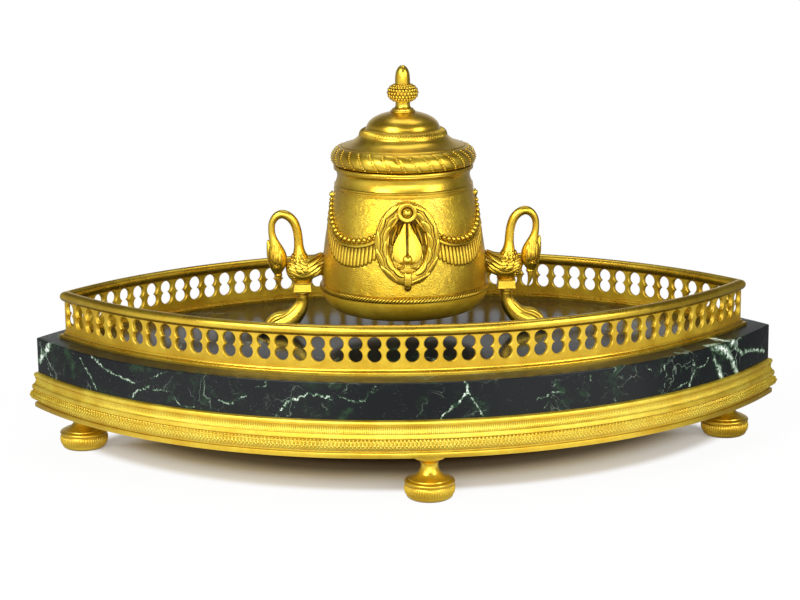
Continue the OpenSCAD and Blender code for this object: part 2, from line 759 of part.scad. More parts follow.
knob_z = collar_z - knob_gap - knob_d / 2;
knob_stem_d = 1.6;

module side_knobs() {
  seat = body_r(knob_z);
  color(gilt) for (turn = [0, 180]) rotate([0, 0, turn]) {
    difference() {
      translate([0, 0, knob_z]) rotate([0, 90, 0]) {
        translate([0, 0, seat - 1]) cylinder(h = 1 + knob_out * 0.5, d = knob_d, $fn = pin_fn);
        translate([0, 0, seat + knob_out * 0.5])
          cylinder(h = knob_out * 0.5, d1 = knob_d, d2 = knob_d * 0.55, $fn = pin_fn);
      }
      pot_form(fit);
    }
    translate([0, 0, knob_z]) rotate([0, 90, 0]) translate([0, 0, seat - pot_wall])
      cylinder(h = pot_wall + knob_out * 0.5, d = knob_stem_d, $fn = pin_fn);
  }
}

// A skin over the body, from just off it to the full relief
module body_skin(thick) {
  rotate_extrude($fn = turn_fn)
    polygon(concat(body_side(fit), reversed(body_side(thick))));
}

swag_half = body_top_r * sin(37);
swag_n = 10;
// Height of the bead line and of the hem at a share t from the middle (0) to an end (1)
function swag_top(t) = body_z + swag_low + (knob_z - 3 - body_z - swag_low) * pow(abs(t), 2.2);
function swag_hem(t) = swag_top(t) - 3.4 - (swag_drop - 3.4) * (1 - pow(abs(t), 3));

module swag(turn) {
  color(gilt) intersection() {
    body_skin(relief);
    rotate([0, 0, turn]) rotate([90, 0, 0]) linear_extrude(2 * body_foot_r)
      polygon(concat(
        [for (i = [-swag_n:swag_n]) [swag_half * i / swag_n, swag_top(i / swag_n) + 1.2]],
        [for (i = [swag_n:-1:-swag_n]) [swag_half * i / swag_n, swag_hem(i / swag_n)]]));
  }
}

module swag_front_right() { swag(45); }
module swag_back_right() { swag(135); }
module swag_back_left() { swag(225); }
module swag_front_left() { swag(315); }

palmette_w = 14;
palmette_h = 22;

module palmette(turn) {
  color(gilt) intersection() {
    body_skin(relief);
    rotate([0, 0, turn]) rotate([90, 0, 0]) linear_extrude(2 * body_foot_r)
      translate([0, wreath_mid_z - 0.8])
        polygon(ellipse_arc(0, 0, palmette_w / 2, palmette_h / 2, 0, 350, 35));
  }
}

module palmette_front() { palmette(0); }
module palmette_back() { palmette(180); }

// ---------- wreath handles ----------

// The pin is near the top of the wreath, just behind its band
handle_z = collar_z - 1.9;
handle_y = -(body_r(handle_z) + handle_knuckle_r + 1);
handle_top = 1.8;
wreath_mid_z = handle_z + handle_top - wreath_h / 2;
wreath_top_y = handle_y - handle_knuckle_r - 0.15 - wreath_t / 2;
wreath_low_z = handle_z + handle_top - wreath_h + wreath_band / 2;
wreath_low_y = -(body_r(wreath_low_z) + wreath_gap + wreath_t / 2);
bracket_half_w = 2;
handle_lug_w = 2.2;
bracket_stem_d = 2;

// Leans the wreath's own upright plane so that its foot hangs just off the body
wreath_lean = atan((wreath_top_y - wreath_low_y) / (handle_z - wreath_low_z));

module wreath_frame() {
  translate([0, handle_y, handle_z]) rotate([-wreath_lean, 0, 0]) children();
}

module wreath_ring() {
  n = 36;
  sides = 10;
  a = (wreath_w - wreath_band) / 2;
  b = (wreath_h - wreath_band) / 2;
  y0 = wreath_top_y - handle_y;
  z0 = handle_top - wreath_h / 2;
  points = [for (i = [0:n - 1]) for (k = [0:sides - 1])
    let (u = 360 * i / n, v = 360 * k / sides + 18, m = [cos(u) * b, sin(u) * a] / norm([cos(u) * b, sin(u) * a]))
    [a * cos(u) + m[0] * wreath_band / 2 * cos(v), y0 + wreath_t / 2 * sin(v) / sin(90 - 18),
     z0 + b * sin(u) + m[1] * wreath_band / 2 * cos(v)]];
  polyhedron(points = points,
    faces = [for (i = [0:n - 1]) for (k = [0:sides - 1])
      let (j = (i + 1) % n, m = (k + 1) % sides)
      [i * sides + k, j * sides + k, j * sides + m, i * sides + m]],
    convexity = 6);
}

module wreath() {
  wreath_frame() difference() {
    union() {
      wreath_ring();
      for (side = [-1, 1]) {
        translate([side * (bracket_half_w + knuckle_gap + handle_lug_w / 2), 0, 0]) {
          rotate([0, 90, 0]) cylinder(h = handle_lug_w, r = handle_knuckle_r, center = true, $fn = pin_fn);
          translate([-handle_lug_w / 2, wreath_top_y - handle_y, -handle_knuckle_r])
            cube([handle_lug_w, handle_y - wreath_top_y, 2 * handle_knuckle_r]);
        }
      }
    }
    rotate([0, 90, 0]) cylinder(h = 4 * boss_d, d = handle_pin_d + 2 * fit, center = true, $fn = pin_fn);
    translate([0, wreath_top_y - handle_y, boss_drop]) rotate([90, 0, 0])
      cylinder(h = 2 * wreath_t, d = boss_stem_d + 2 * fit, center = true, $fn = pin_fn);
  }
}

boss_drop = -3.2;
boss_t = 1.4;
boss_stem_d = 2;

// Stem at the back, then a disc with a raised rim, a groove and a half ball
module boss() {
  boss_r = boss_d / 2;
  ball_r = boss_ball_d / 2;
  face = wreath_t / 2 + fit;
  wreath_frame() translate([0, wreath_top_y - handle_y, boss_drop]) rotate([90, 0, 0])
    rotate_extrude($fn = 64) polygon(concat(
      [[0, 0.2 - wreath_t / 2], [boss_stem_d / 2, 0.2 - wreath_t / 2], [boss_stem_d / 2, face],
       [boss_r, face], [boss_r, face + boss_t * 0.7], [boss_r - 0.35, face + boss_t],
       [boss_r - 0.95, face + boss_t], [boss_r - 1.3, face + boss_t * 0.6],
       [ball_r + 0.2, face + boss_t * 0.6]],
      ellipse_arc(0, face + boss_t * 0.6, ball_r, ball_r, 5, 90, 8)));
}

module handle_bracket() {
  difference() {
    union() {
      translate([0, handle_y, handle_z]) rotate([0, 90, 0])
        cylinder(h = 2 * bracket_half_w, r = handle_knuckle_r, center = true, $fn = pin_fn);
      translate([-bracket_half_w, handle_y, handle_z - handle_knuckle_r])
        cube([2 * bracket_half_w, handle_knuckle_r + 2, 2 * handle_knuckle_r]);
      translate([0, handle_y, handle_z]) rotate([-90, 0, 0])
        cylinder(h = handle_knuckle_r + 1 + pot_wall, d = bracket_stem_d, $fn = pin_fn);
    }
    translate([0, handle_y, handle_z]) rotate([0, 90, 0])
      cylinder(h = 4 * boss_d, d = handle_pin_d + 2 * fit, center = true, $fn = pin_fn);
    difference() {
      pot_form(fit);
      translate([0, 0, handle_z]) rotate([90, 0, 0])
        cylinder(h = 2 * body_foot_r, d = bracket_stem_d, $fn = pin_fn);
    }
  }
}

module handle_pins() {
  half = bracket_half_w + knuckle_gap + handle_lug_w;
  color(steel) for (turn = [0, 180]) rotate([0, 0, turn]) translate([0, handle_y, handle_z])
    rotate([0, 90, 0]) cylinder(h = 2 * half, d = handle_pin_d, center = true, $fn = pin_fn);
}

module handle_bracket_front() { color(gilt) handle_bracket(); }
module handle_bracket_back() { color(gilt) back() handle_bracket(); }
module wreath_front() { color(gilt) wreath(); }
module wreath_back() { color(gilt) back() wreath(); }
module boss_front() { color(gilt) boss(); }
module boss_back() { color(gilt) back() boss(); }

// ---------- lid ----------

hatch_z = rim_h + 0.9 + ogee_h;
dome_z = hatch_z + hatch_h;
lid_top = dome_z + dome_h;
finial_seat_r = 6.2;
dome_flat = acos(finial_seat_r / dome_r);
rim_slot_w = lid_knuckle_w + 2 * fit;
rim_slot_y = rim_r - 2.6;
lid_nut_h = 2.2;
lid_nut_af = 5.5;

module lid() {
  seat_r = rim_seat_r - fit;
  ogee_r = hatch_r + 0.2;
  t = lid_wall;
  crown_z = dome_z + dome_h * sin(dome_flat);
  outline = concat(
    [[seat_r - 2, 0], [seat_r, 0], [seat_r, rim_h + 0.6]],
    [for (i = [0:curve_n]) let (u = i / curve_n)
      [seat_r - 0.6 - (seat_r - 0.6 - ogee_r) * u, rim_h + 0.9 + ogee_h * (0.62 * u + 0.38 * u * u)]],
    [[hatch_r, hatch_z + 0.2]],
    ellipse_arc(dome_r + 0.4, hatch_z + 0.9, hatch_r - dome_r - 0.4, hatch_h - 1.1, 0, 80, 5),
    ellipse_arc(0, dome_z, dome_r, dome_h, 2, dome_flat, curve_n),
    [[finial_stud_d / 2 + fit, crown_z], [finial_stud_d / 2 + fit, crown_z - t]],
    [[lid_nut_af * 0.62, crown_z - t]],
    [for (i = [4:-1:0]) let (a = 70 * i / 4)
      [(dome_r - t) * cos(a), dome_z - t + (dome_h - t * 0.6) * sin(a) * 0.94]],
    [[hatch_r - t - 0.6, hatch_z - t * 0.6]],
    [for (i = [curve_n:-2:0]) let (u = i / curve_n)
      [seat_r - 0.6 - t - (seat_r - 0.6 - ogee_r) * u,
       rim_h + 0.9 - t * 1.2 + ogee_h * (0.62 * u + 0.38 * u * u)]],
    [[seat_r - 2, rim_h - 0.6 - t]]);
  color(gilt) translate([0, 0, lid_z]) rotate_extrude($fn = turn_fn) polygon(outline);
}

module rim_section() {
  mid = (rim_seat_r + rim_r) / 2 - 0.8;
  polygon(concat([[rim_seat_r, 0]], ellipse_arc(mid, rim_h / 2, rim_r - mid, rim_h / 2, -90, 90, 14),
    [[rim_seat_r, rim_h]]));
}

module lid_rim() {
  color(gilt) difference() {
    translate([0, 0, lid_z]) rotate_extrude($fn = turn_fn) rim_section();
    translate([-rim_slot_w / 2, rim_slot_y, lid_z - over])
      cube([rim_slot_w, rim_r, rim_h + 2 * over]);
  }
}

module finial() {
  k = finial_h / 22.5;
  r = finial_d / 13.9;
  acorn = [
    [5.9, 0], [5.9, 1.1], [4.9, 1.6], [4.2, 2.6], [3.55, 4.2], [3.5, 5.3], [4.2, 6.4], [5.6, 7.6],
    [6.75, 9.0], [6.95, 10.4], [6.6, 12.0], [5.3, 13.3], [4.05, 14.0], [3.9, 14.8], [3.8, 16.2],
    [3.55, 18.0], [3.1, 19.6], [2.5, 20.9], [1.7, 21.9], [0.8, 22.4], [0, 22.5]];
  seat = lid_z + dome_z + dome_h * sin(dome_flat);
  color(gilt) translate([0, 0, seat]) {
    rotate_extrude($fn = 64) polygon(concat([[0, 0]], [for (p = acorn) [p[0] * r, p[1] * k]]));
    translate([0, 0, -lid_wall - lid_nut_h - stud_proud])
      cylinder(h = lid_wall + lid_nut_h + stud_proud + over, d = finial_stud_d, $fn = pin_fn);
  }
}

module finial_nut() {
  seat = lid_z + dome_z + dome_h * sin(dome_flat) - lid_wall;
  color(steel) translate([0, 0, seat - lid_nut_h]) hex_nut(finial_stud_d, lid_nut_af, lid_nut_h);
}

// ---------- lid hinge ----------

hinge_y = rim_r + barrel_gap + barrel_r;
hinge_z = lid_z;
knuckle_half = lid_knuckle_w / 2 + knuckle_gap + pot_knuckle_w;
leaf_drop = 4.6;
leaf_t = 2.2;

module hinge_bore() {
  translate([0, hinge_y, hinge_z]) rotate([0, 90, 0])
    cylinder(h = 4 * knuckle_half, d = hinge_pin_d + 2 * fit, center = true, $fn = pin_fn);
}

module hinge_lid_leaf() {
  color(gilt) difference() {
    union() {
      translate([0, hinge_y, hinge_z]) rotate([0, 90, 0])
        cylinder(h = lid_knuckle_w, r = barrel_r, center = true, $fn = pin_fn);
      translate([-lid_knuckle_w / 2, rim_slot_y + fit, hinge_z])
        cube([lid_knuckle_w, hinge_y - rim_slot_y - fit, barrel_r]);
    }
    hinge_bore();
  }
}

module hinge_pot_leaf() {
  plate_y = collar_top_r + fit;
  color(gilt) difference() {
    union() {
      for (side = [-1, 1])
        translate([side * (knuckle_half - pot_knuckle_w / 2), hinge_y, hinge_z]) {
          rotate([0, 90, 0])
            cylinder(h = pot_knuckle_w, r = barrel_r, center = true, $fn = pin_fn);
          translate([-pot_knuckle_w / 2, -barrel_r, -lid_gap - 1.6]) cube([pot_knuckle_w, barrel_r, 1.6]);
        }
      translate([-knuckle_half, plate_y - 1.2, hinge_z - barrel_r - knuckle_gap - leaf_drop])
        cube([2 * knuckle_half, leaf_t + 1.2, leaf_drop]);
      for (side = [-1, 1])
        translate([side * (knuckle_half - pot_knuckle_w / 2), 0, 0])
          translate([-pot_knuckle_w / 2, plate_y - 1.2, hinge_z - barrel_r - knuckle_gap - over])
            cube([pot_knuckle_w, leaf_t + 1.2, barrel_r + knuckle_gap + over - lid_gap]);
    }
    hinge_bore();
    translate([0, 0, collar_z]) cylinder(h = 2 * collar_h, r = plate_y, $fn = turn_fn);
  }
}

module hinge_pin() {
  color(steel) translate([0, hinge_y, hinge_z]) rotate([0, 90, 0])
    cylinder(h = 2 * knuckle_half + 1, d = hinge_pin_d, center = true, $fn = pin_fn);
}

foot_left();
foot_right();
foot_front();
foot_back();
foot_nuts();
bottom_plate();
base_screws();
base_moulding_front();
base_moulding_back();
marble_slab();
gallery_strip_front();
gallery_strip_back();
gallery_band_front();
gallery_band_back();
gallery_rail_front();
gallery_rail_back();
gallery_studs();
gallery_nuts();
leg_left();
leg_right();
leg_rods();
leg_rod_nuts();
leg_dowels();
swan_left();
swan_right();
swan_screws();
pot_dish();
pot_bead_ring();
pot_body();
pot_collar();
ink_liner();
side_knobs();
swag_front_left();
swag_front_right();
swag_back_left();
swag_back_right();
palmette_front();
palmette_back();
handle_bracket_front();
handle_bracket_back();
handle_pins();
wreath_front();
wreath_back();
boss_front();
boss_back();
lid();
lid_rim();
finial();
finial_nut();
hinge_lid_leaf();
hinge_pot_leaf();
hinge_pin();
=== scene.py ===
"""Desk inkstand: a gilt ink pot carried by two swans on a pointed marble slab with a pierced gallery.

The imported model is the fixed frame. Each sub-assembly is a class with its sizes as fields, in
millimetres, which builds its meshes, dresses them and puts them on the bodies they move with.
"""

import logging
import math
from dataclasses import dataclass, field
from enum import Enum
from typing import Callable, Sequence

import bmesh
import bpy
import numpy as np
from mathutils import Matrix, Vector


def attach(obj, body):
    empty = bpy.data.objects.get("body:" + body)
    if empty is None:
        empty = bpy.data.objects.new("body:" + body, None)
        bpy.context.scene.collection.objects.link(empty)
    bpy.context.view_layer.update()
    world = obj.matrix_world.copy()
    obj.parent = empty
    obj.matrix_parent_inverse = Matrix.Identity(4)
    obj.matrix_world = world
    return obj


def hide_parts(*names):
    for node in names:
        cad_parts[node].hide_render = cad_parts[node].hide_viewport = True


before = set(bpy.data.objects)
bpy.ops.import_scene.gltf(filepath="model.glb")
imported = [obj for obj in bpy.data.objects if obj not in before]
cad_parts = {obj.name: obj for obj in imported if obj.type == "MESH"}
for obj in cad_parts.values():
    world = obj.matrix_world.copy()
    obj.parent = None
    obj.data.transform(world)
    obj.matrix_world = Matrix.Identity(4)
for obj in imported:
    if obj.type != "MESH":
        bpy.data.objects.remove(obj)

LOG = logging.getLogger("inkstand")
MM = 0.001
WELD = 0.002  # points closer than this many millimetres become one
STAND = "stand"
LID_BODY = "lid_assembly"
FRONT_HANDLE = "front_handle"
BACK_HANDLE = "back_handle"

Color = tuple[float, float, float]
Points = np.ndarray
Faces = list[tuple[int, ...]]
Rows = tuple[tuple[float, ...], ...]
Turn = tuple[float, float, float]


# ---------------------------------------------------------------- node graphs


class Wire:
    """A node socket that takes part in Python arithmetic."""

    def __init__(self, graph: "Graph", socket: bpy.types.NodeSocket) -> None:
        """Keeps the socket and the graph that it belongs to."""
        self.graph = graph
        self.socket = socket

    def _math(self, operation: str, *values: "Wire | float") -> "Wire":
        """Adds one Math node.

        Args:
            operation: The Math node's operation.
            values: The values or wires of its inputs, in order.

        Returns:
            The node's result.
        """
        return self.graph.node("ShaderNodeMath", {"operation": operation}, dict(enumerate(values)))

    def __add__(self, other: "Wire | float") -> "Wire":
        """self + other."""
        return self._math("ADD", self, other)

    def __radd__(self, other: float) -> "Wire":
        """other + self."""
        return self._math("ADD", other, self)

    def __sub__(self, other: "Wire | float") -> "Wire":
        """self - other."""
        return self._math("SUBTRACT", self, other)

    def __rsub__(self, other: float) -> "Wire":
        """other - self."""
        return self._math("SUBTRACT", other, self)

    def __mul__(self, other: "Wire | float") -> "Wire":
        """self * other."""
        return self._math("MULTIPLY", self, other)

    def __rmul__(self, other: float) -> "Wire":
        """other * self."""
        return self._math("MULTIPLY", other, self)

    def __truediv__(self, other: "Wire | float") -> "Wire":
        """self / other."""
        return self._math("DIVIDE", self, other)

    def __rtruediv__(self, other: float) -> "Wire":
        """other / self."""
        return self._math("DIVIDE", other, self)

    def __abs__(self) -> "Wire":
        """The absolute value."""
        return self._math("ABSOLUTE", self)

    def sin(self) -> "Wire":
        """The sine of an angle in radians."""
        return self._math("SINE", self)

    def cos(self) -> "Wire":
        """The cosine of an angle in radians."""
        return self._math("COSINE", self)

    def arccos(self) -> "Wire":
        """The angle in radians whose cosine this is."""
        return self._math("ARCCOSINE", self)

    def least(self, other: "Wire | float") -> "Wire":
        """The smaller of two values."""
        return self._math("MINIMUM", self, other)

    def most(self, other: "Wire | float") -> "Wire":
        """The larger of two values."""
        return self._math("MAXIMUM", self, other)

    def ramp(self, low: float, high: float, to_low: float = 0.0, to_high: float = 1.0) -> "Wire":
        """Maps low..high smoothly to to_low..to_high and clamps outside.

        Args:
            low: The value that gives to_low.
            high: The value that gives to_high.
            to_low: The result at low.
            to_high: The result at high.

        Returns:
            The mapped value.
        """
        return self.graph.node(
            "ShaderNodeMapRange",
            {"interpolation_type": "SMOOTHSTEP", "clamp": True},
            {0: self, 1: low, 2: high, 3: to_low, 4: to_high},
        )


class Graph:
    """Adds nodes to one node tree, for materials, the world and geometry alike."""

    def __init__(self, tree: bpy.types.NodeTree) -> None:
        """Keeps the tree."""
        self.tree = tree

    def node(
        self,
        kind: str,
        settings: dict | None = None,
        inputs: dict | None = None,
        output: int | str | None = 0,
    ) -> Wire | None:
        """Adds a node of any type.

        Args:
            kind: The node's type.
            settings: Its properties, set first.
            inputs: Values or wires by socket name or number.
            output: The name or number of the output that is returned, or None.

        Returns:
            A wire on that output, or None.
        """
        made = self.tree.nodes.new(kind)
        for key, value in (settings or {}).items():
            setattr(made, key, value)
        for key, value in (inputs or {}).items():
            if isinstance(value, Wire):
                self.tree.links.new(value.socket, made.inputs[key])
            elif isinstance(value, tuple) and len(value) == 3 and made.inputs[key].type == "RGBA":
                made.inputs[key].default_value = (*value, 1.0)
            else:
                made.inputs[key].default_value = value
        return None if output is None else Wire(self, made.outputs[output])

    def vector(self, operation: str, *values: Wire | tuple, output: int = 0) -> Wire:
        """Adds a Vector Math node.

        Args:
            operation: The node's operation.
            values: The values or wires of its inputs, in order.
            output: 0 for the vector, 1 for the value.

        Returns:
            The node's result.
        """
        return self.node("ShaderNodeVectorMath", {"operation": operation}, dict(enumerate(values)), output)

    def scaled(self, vector: Wire, factor: Wire | float) -> Wire:
        """A vector times a number."""
        return self.node("ShaderNodeVectorMath", {"operation": "SCALE"}, {0: vector, "Scale": factor})

    def split(self, vector: Wire) -> tuple[Wire, Wire, Wire]:
        """The X, Y and Z of a vector.

        Args:
            vector: The vector.

        Returns:
            The three numbers.
        """
        first = self.node("ShaderNodeSeparateXYZ", {}, {"Vector": vector})
        outputs = first.socket.node.outputs
        return first, Wire(self, outputs["Y"]), Wire(self, outputs["Z"])

    def joined(self, x: Wire | float, y: Wire | float, z: Wire | float) -> Wire:
        """A vector from three numbers."""
        return self.node("ShaderNodeCombineXYZ", {}, {"X": x, "Y": y, "Z": z})

    def mix_color(self, factor: Wire | float, low: Wire | Color, high: Wire | Color) -> Wire:
        """Mixes two colors, low at factor 0 and high at factor 1."""
        return self.node("ShaderNodeMix", {"data_type": "RGBA"}, {0: factor, 6: low, 7: high}, 2)

    def noise(self, where: Wire, size: float, detail: float = 3.0, rough: float = 0.5) -> Wire:
        """A noise whose features are about size metres across.

        Args:
            where: The coordinates, in metres.
            size: The size of a feature, in metres.
            detail: How many finer octaves are added.
            rough: How strong the finer octaves are.

        Returns:
            A value round 0.5.
        """
        inputs = {"Vector": where, "Scale": 1.0 / size, "Detail": detail, "Roughness": rough}
        return self.node("ShaderNodeTexNoise", {}, inputs)

    def swirl(self, where: Wire, scale: float, detail: float, rough: float = 0.5) -> Wire:
        """Three noises as one vector, with scale features to the metre."""
        inputs = {"Vector": where, "Scale": scale, "Detail": detail, "Roughness": rough}
        return self.node("ShaderNodeTexNoise", {}, inputs, "Color")

    def stirred(self, where: Wire, swirl: Wire, reach: float) -> Wire:
        """Coordinates that a swirl pushes about, by up to half the reach in metres."""
        return self.vector("ADD", where, self.scaled(self.vector("SUBTRACT", swirl, (0.5, 0.5, 0.5)), reach))

    def cells(self, where: Wire, scale: float, feature: str) -> Wire:
        """A distance in a pattern of cells, with scale cells to the metre."""
        inputs = {"Vector": where, "Scale": scale}
        return self.node("ShaderNodeTexVoronoi", {"feature": feature}, inputs, "Distance")

    def farther(self, where: Wire, y: float, z: float = 0.0) -> Wire:
        """The distance from the farther of two points that mirror each other.

        Args:
            where: The coordinates.
            y: The y of one point; the other has it below zero.
            z: The height of both.

        Returns:
            The distance.
        """
        gaps = (self.vector("SUBTRACT", where, (0.0, middle, z)) for middle in (y, -y))
        one, other = (self.vector("LENGTH", gap, output=1) for gap in gaps)
        return one.most(other)

    def bump(self, height: Wire, depth: float) -> Wire:
        """A normal that follows a height of 0 to 1, which stands for depth metres."""
        return self.node("ShaderNodeBump", {}, {"Distance": depth, "Height": height}, "Normal")


def surface_graph(name: str) -> tuple[bpy.types.Material, Graph, Wire]:
    """Makes an empty material.

    Args:
        name: The material's name.

    Returns:
        The material, its graph and the object coordinates in metres.
    """
    material = bpy.data.materials.new(name)
    material.use_nodes = True
    material.node_tree.nodes.clear()
    graph = Graph(material.node_tree)
    return material, graph, graph.node("ShaderNodeTexCoord", output="Object")


def finish_surface(graph: Graph, inputs: dict, coat: float = 0.0, coat_roughness: float = 0.04) -> None:
    """Adds the shader and the material output.

    Args:
        graph: The material's graph.
        inputs: What goes into the Principled shader, by socket name.
        coat: The weight of a clear coat where the inputs don't give one.
        coat_roughness: How dull the coat is.
    """
    coats = {"Coat Weight": coat, "Coat Roughness": coat_roughness}
    shader = graph.node("ShaderNodeBsdfPrincipled", {}, {**coats, **inputs})
    graph.node("ShaderNodeOutputMaterial", {}, {"Surface": shader}, output=None)


# ---------------------------------------------------------------- finishes


class Grain(Enum):
    """How a gilt surface is worked."""

    BURNISHED = "burnished"
    MATTED = "matted"
    CHASED = "chased"
    TURNED = "turned"


@dataclass(frozen=True)
class Gilt:
    """Fire gilding over bronze: bright where it is rubbed, brown where dirt settles and in hollows and
    between parts, which is partly painted shade, and nearly black where shade is painted on the piece.
    """

    name: str
    grain: Grain = Grain.BURNISHED
    tone: Color = (0.85, 0.575, 0.028)
    dirt_and_shade: Color = (0.21, 0.095, 0.006)
    # The nearly black colour of painted shade.
    shade_tone: Color = (0.075, 0.027, 0.003)
    roughness: float = 0.34
    grain_size: float = 0.5
    grain_depth: float = 0.02
    reach: float = 1.6
    dirt_and_shade_amount: float = 0.75
    metal: float = 0.94

    def material(self) -> bpy.types.Material:
        """Builds the material.

        Returns:
            The gilt material.
        """
        material, g, where = surface_graph(self.name)
        cloud = g.noise(where, 14 * MM, 4.0, 0.6)
        speck = g.noise(where, 1.1 * MM, 2.0, 0.6)
        height = self._height(g, where, speck)
        sky = {"Distance": self.reach * MM}
        open_sky = g.node("ShaderNodeAmbientOcclusion", {"samples": 6, "inside": False}, sky, "AO")
        # Where a piece carries painted shade on its points, the gilt turns nearly black and loses its coat.
        stored = {"attribute_type": "GEOMETRY", "attribute_name": "soil"}
        soil = g.node("ShaderNodeAttribute", stored, {}, "Fac")
        # Darker in hollows and between parts within reach, by ambient occlusion: dirt that settles there, and
        # painted shade.
        grime_and_shade = (1 - open_sky.ramp(0.25, 0.9)) * self.dirt_and_shade_amount * cloud.ramp(0.25, 0.7, 0.75, 1.0)
        warm = tuple(c * k for c, k in zip(self.tone, (0.97, 0.90, 0.7)))
        pale = tuple(min(1.0, c * k) for c, k in zip(self.tone, (1.04, 1.10, 1.6)))
        tint = g.mix_color(cloud.ramp(0.35, 0.65), warm, pale)
        tint = g.mix_color(speck.ramp(0.3, 0.75, 0.0, 0.16), tint, self.dirt_and_shade)
        color = g.mix_color(grime_and_shade, tint, self.dirt_and_shade)
        color = g.mix_color(height.ramp(0.3, 1.0, 0.16, 0.0), color, self.dirt_and_shade)
        color = g.mix_color(soil * 0.97, color, self.shade_tone)
        rough = cloud.ramp(0.3, 0.7, self.roughness * 0.85, self.roughness * 1.15) + grime_and_shade * 0.25
        bump = g.bump(height, self.grain_depth * MM)
        inputs = {"Base Color": color, "Metallic": self.metal, "Roughness": rough, "Normal": bump}
        finish_surface(g, {**inputs, "Coat Weight": (1 - soil) * 0.5}, coat_roughness=0.3)
        return material

    def _height(self, g: Graph, where: Wire, speck: Wire) -> Wire:
        """The height of the tool marks, 0 to 1.

        Args:
            g: The material's graph.
            where: The object coordinates.
            speck: A fine noise that every grain shares.

        Returns:
            The height.
        """
        size = self.grain_size * MM
        x, y, z = g.split(where)
        if self.grain is Grain.MATTED:
            return g.cells(where, 1.0 / size, "F1").ramp(0.1, 0.6) + speck * 0.4
        if self.grain is Grain.CHASED:
            drift = g.noise(where, 4 * MM, 2.0) * 0.006
            strokes = ((x * 0.6 + y * 0.25 + z + drift) * (math.tau / size)).sin()
            return strokes * 0.3 + g.noise(where, size * 0.9, 1.0) * 1.4
        if self.grain is Grain.TURNED:
            along = {"W": z, "Scale": 1.0 / size, "Detail": 3.0}
            return g.node("ShaderNodeTexNoise", {"noise_dimensions": "1D"}, along) + speck * 0.2
        return speck * 0.5 + g.noise(where, 5 * MM, 2.0) * 0.7


@dataclass(frozen=True)
class Vein:
    """One vein of the marble: the points it runs through, in millimetres, and its half width."""

    points: tuple[tuple[float, float, float], ...]
    half_width: float = 0.5
    strength: float = 1.0


@dataclass(frozen=True)
class Marble:
    """Polished sea-green marble, nearly black, with pale broken veins."""

    ground: Color = (0.0060, 0.0075, 0.0080)
    green: Color = (0.018, 0.050, 0.020)
    pale: Color = (0.30, 0.40, 0.30)
    white: Color = (0.78, 0.82, 0.78)
    veins: tuple[Vein, ...] = ()
    top: float = 55.5
    fence_radius: float = 202.5
    fence_centre: float = 117.7

    def material(self) -> bpy.types.Material:
        """Builds the material.

        Returns:
            The marble material.
        """
        material, g, where = surface_graph("marble")
        warp = g.swirl(where, 45.0, 4.0, 0.6)
        bent = g.stirred(where, warp, 0.022)
        fine = g.swirl(where, 420.0, 3.0)
        x, y, z = g.split(where)
        side = y.ramp(-0.00001, 0.00001, 1.0, -1.0)
        turned = g.joined(x * side, y * side, z)
        crumb = g.swirl(where, 1500.0, 2.0)
        ragged = g.stirred(g.stirred(turned, fine, 0.0034), crumb, 0.0013)
        patches = g.noise(where, 34 * MM, 5.0, 0.62)
        net = self._net(g, bent, 34.0, 0.009) * patches.ramp(0.52, 0.66) * 0.8
        strands = self._net(g, g.vector("ADD", bent, g.scaled(fine, 0.002)), 75.0, 0.010)
        hair = strands * g.noise(where, 17 * MM, 3.0).ramp(0.52, 0.66) * 0.4
        placed = self._placed(g, ragged)
        grains = g.noise(where, 0.9 * MM, 2.0, 0.7).ramp(0.60, 0.78)
        speckle = grains * g.noise(where, 11 * MM, 3.0).ramp(0.45, 0.62) * 0.35
        mask = net.most(hair).most(speckle)
        cloud = g.noise(bent, 9 * MM, 5.0, 0.68).ramp(0.50, 0.72) * patches.ramp(0.42, 0.60)
        base = g.mix_color(cloud * 0.8, self.ground, self.green)
        color = g.mix_color(mask * 0.8, base, self.pale)
        color = g.mix_color(placed.ramp(0.05, 0.4, 0.0, 0.75), color, self.green)
        color = g.mix_color(placed.ramp(0.3, 0.85, 0.0, 0.85), color, self.pale)
        broken = g.noise(where, 3 * MM, 3.0).ramp(0.3, 0.55, 0.3, 1.0)
        color = g.mix_color(placed.ramp(0.80, 0.97) * 0.9 * broken, color, self.white)
        fence = g.farther(where, self.fence_centre * MM, self.top * MM)
        ledge = fence.ramp(self.fence_radius * MM, (self.fence_radius + 2.0) * MM)
        dull = z.ramp((self.top - 0.3) * MM, self.top * MM) * (ledge * 0.19 + 0.03)
        rough = 0.13 + mask.most(placed) * 0.15 + dull
        finish_surface(g, {"Base Color": color, "Roughness": rough, "Specular IOR Level": 0.26})
        return material

    def _net(self, g: Graph, where: Wire, scale: float, width: float) -> Wire:
        """A net of thin cracks.

        Args:
            g: The material's graph.
            where: Warped coordinates.
            scale: Cells per metre.
            width: The width of a crack, as a share of a cell.

        Returns:
            1 on a crack, 0 off it.
        """
        return g.cells(where, scale, "DISTANCE_TO_EDGE").ramp(width * 0.3, width * 1.6, 1.0, 0.0)

    def _placed(self, g: Graph, where: Wire) -> Wire:
        """The veins that have a place of their own.

        Args:
            g: The material's graph.
            where: Coordinates with ragged edges.

        Returns:
            1 on a vein, 0 off it.
        """
        total: Wire | None = None
        for vein in self.veins:
            nearest: Wire | None = None
            for start, end in zip(vein.points, vein.points[1:]):
                a, b = Vector(start) * MM, Vector(end) * MM
                along = b - a
                offset = g.vector("SUBTRACT", where, tuple(a))
                share = g.vector("DOT_PRODUCT", offset, tuple(along / along.length_squared), output=1)
                share = share.most(0.0).least(1.0)
                gap = g.vector("SUBTRACT", offset, g.scaled(g.joined(*along), share))
                far = g.vector("LENGTH", gap, output=1)
                nearest = far if nearest is None else nearest.least(far)
            edge = vein.half_width * MM
            mask = nearest.ramp(edge * 0.15, edge * 1.25, vein.strength, 0.0)
            total = mask if total is None else total.most(mask)
        return total * g.noise(where, 2.0 * MM, 3.0).ramp(0.34, 0.56, 0.35, 1.0)


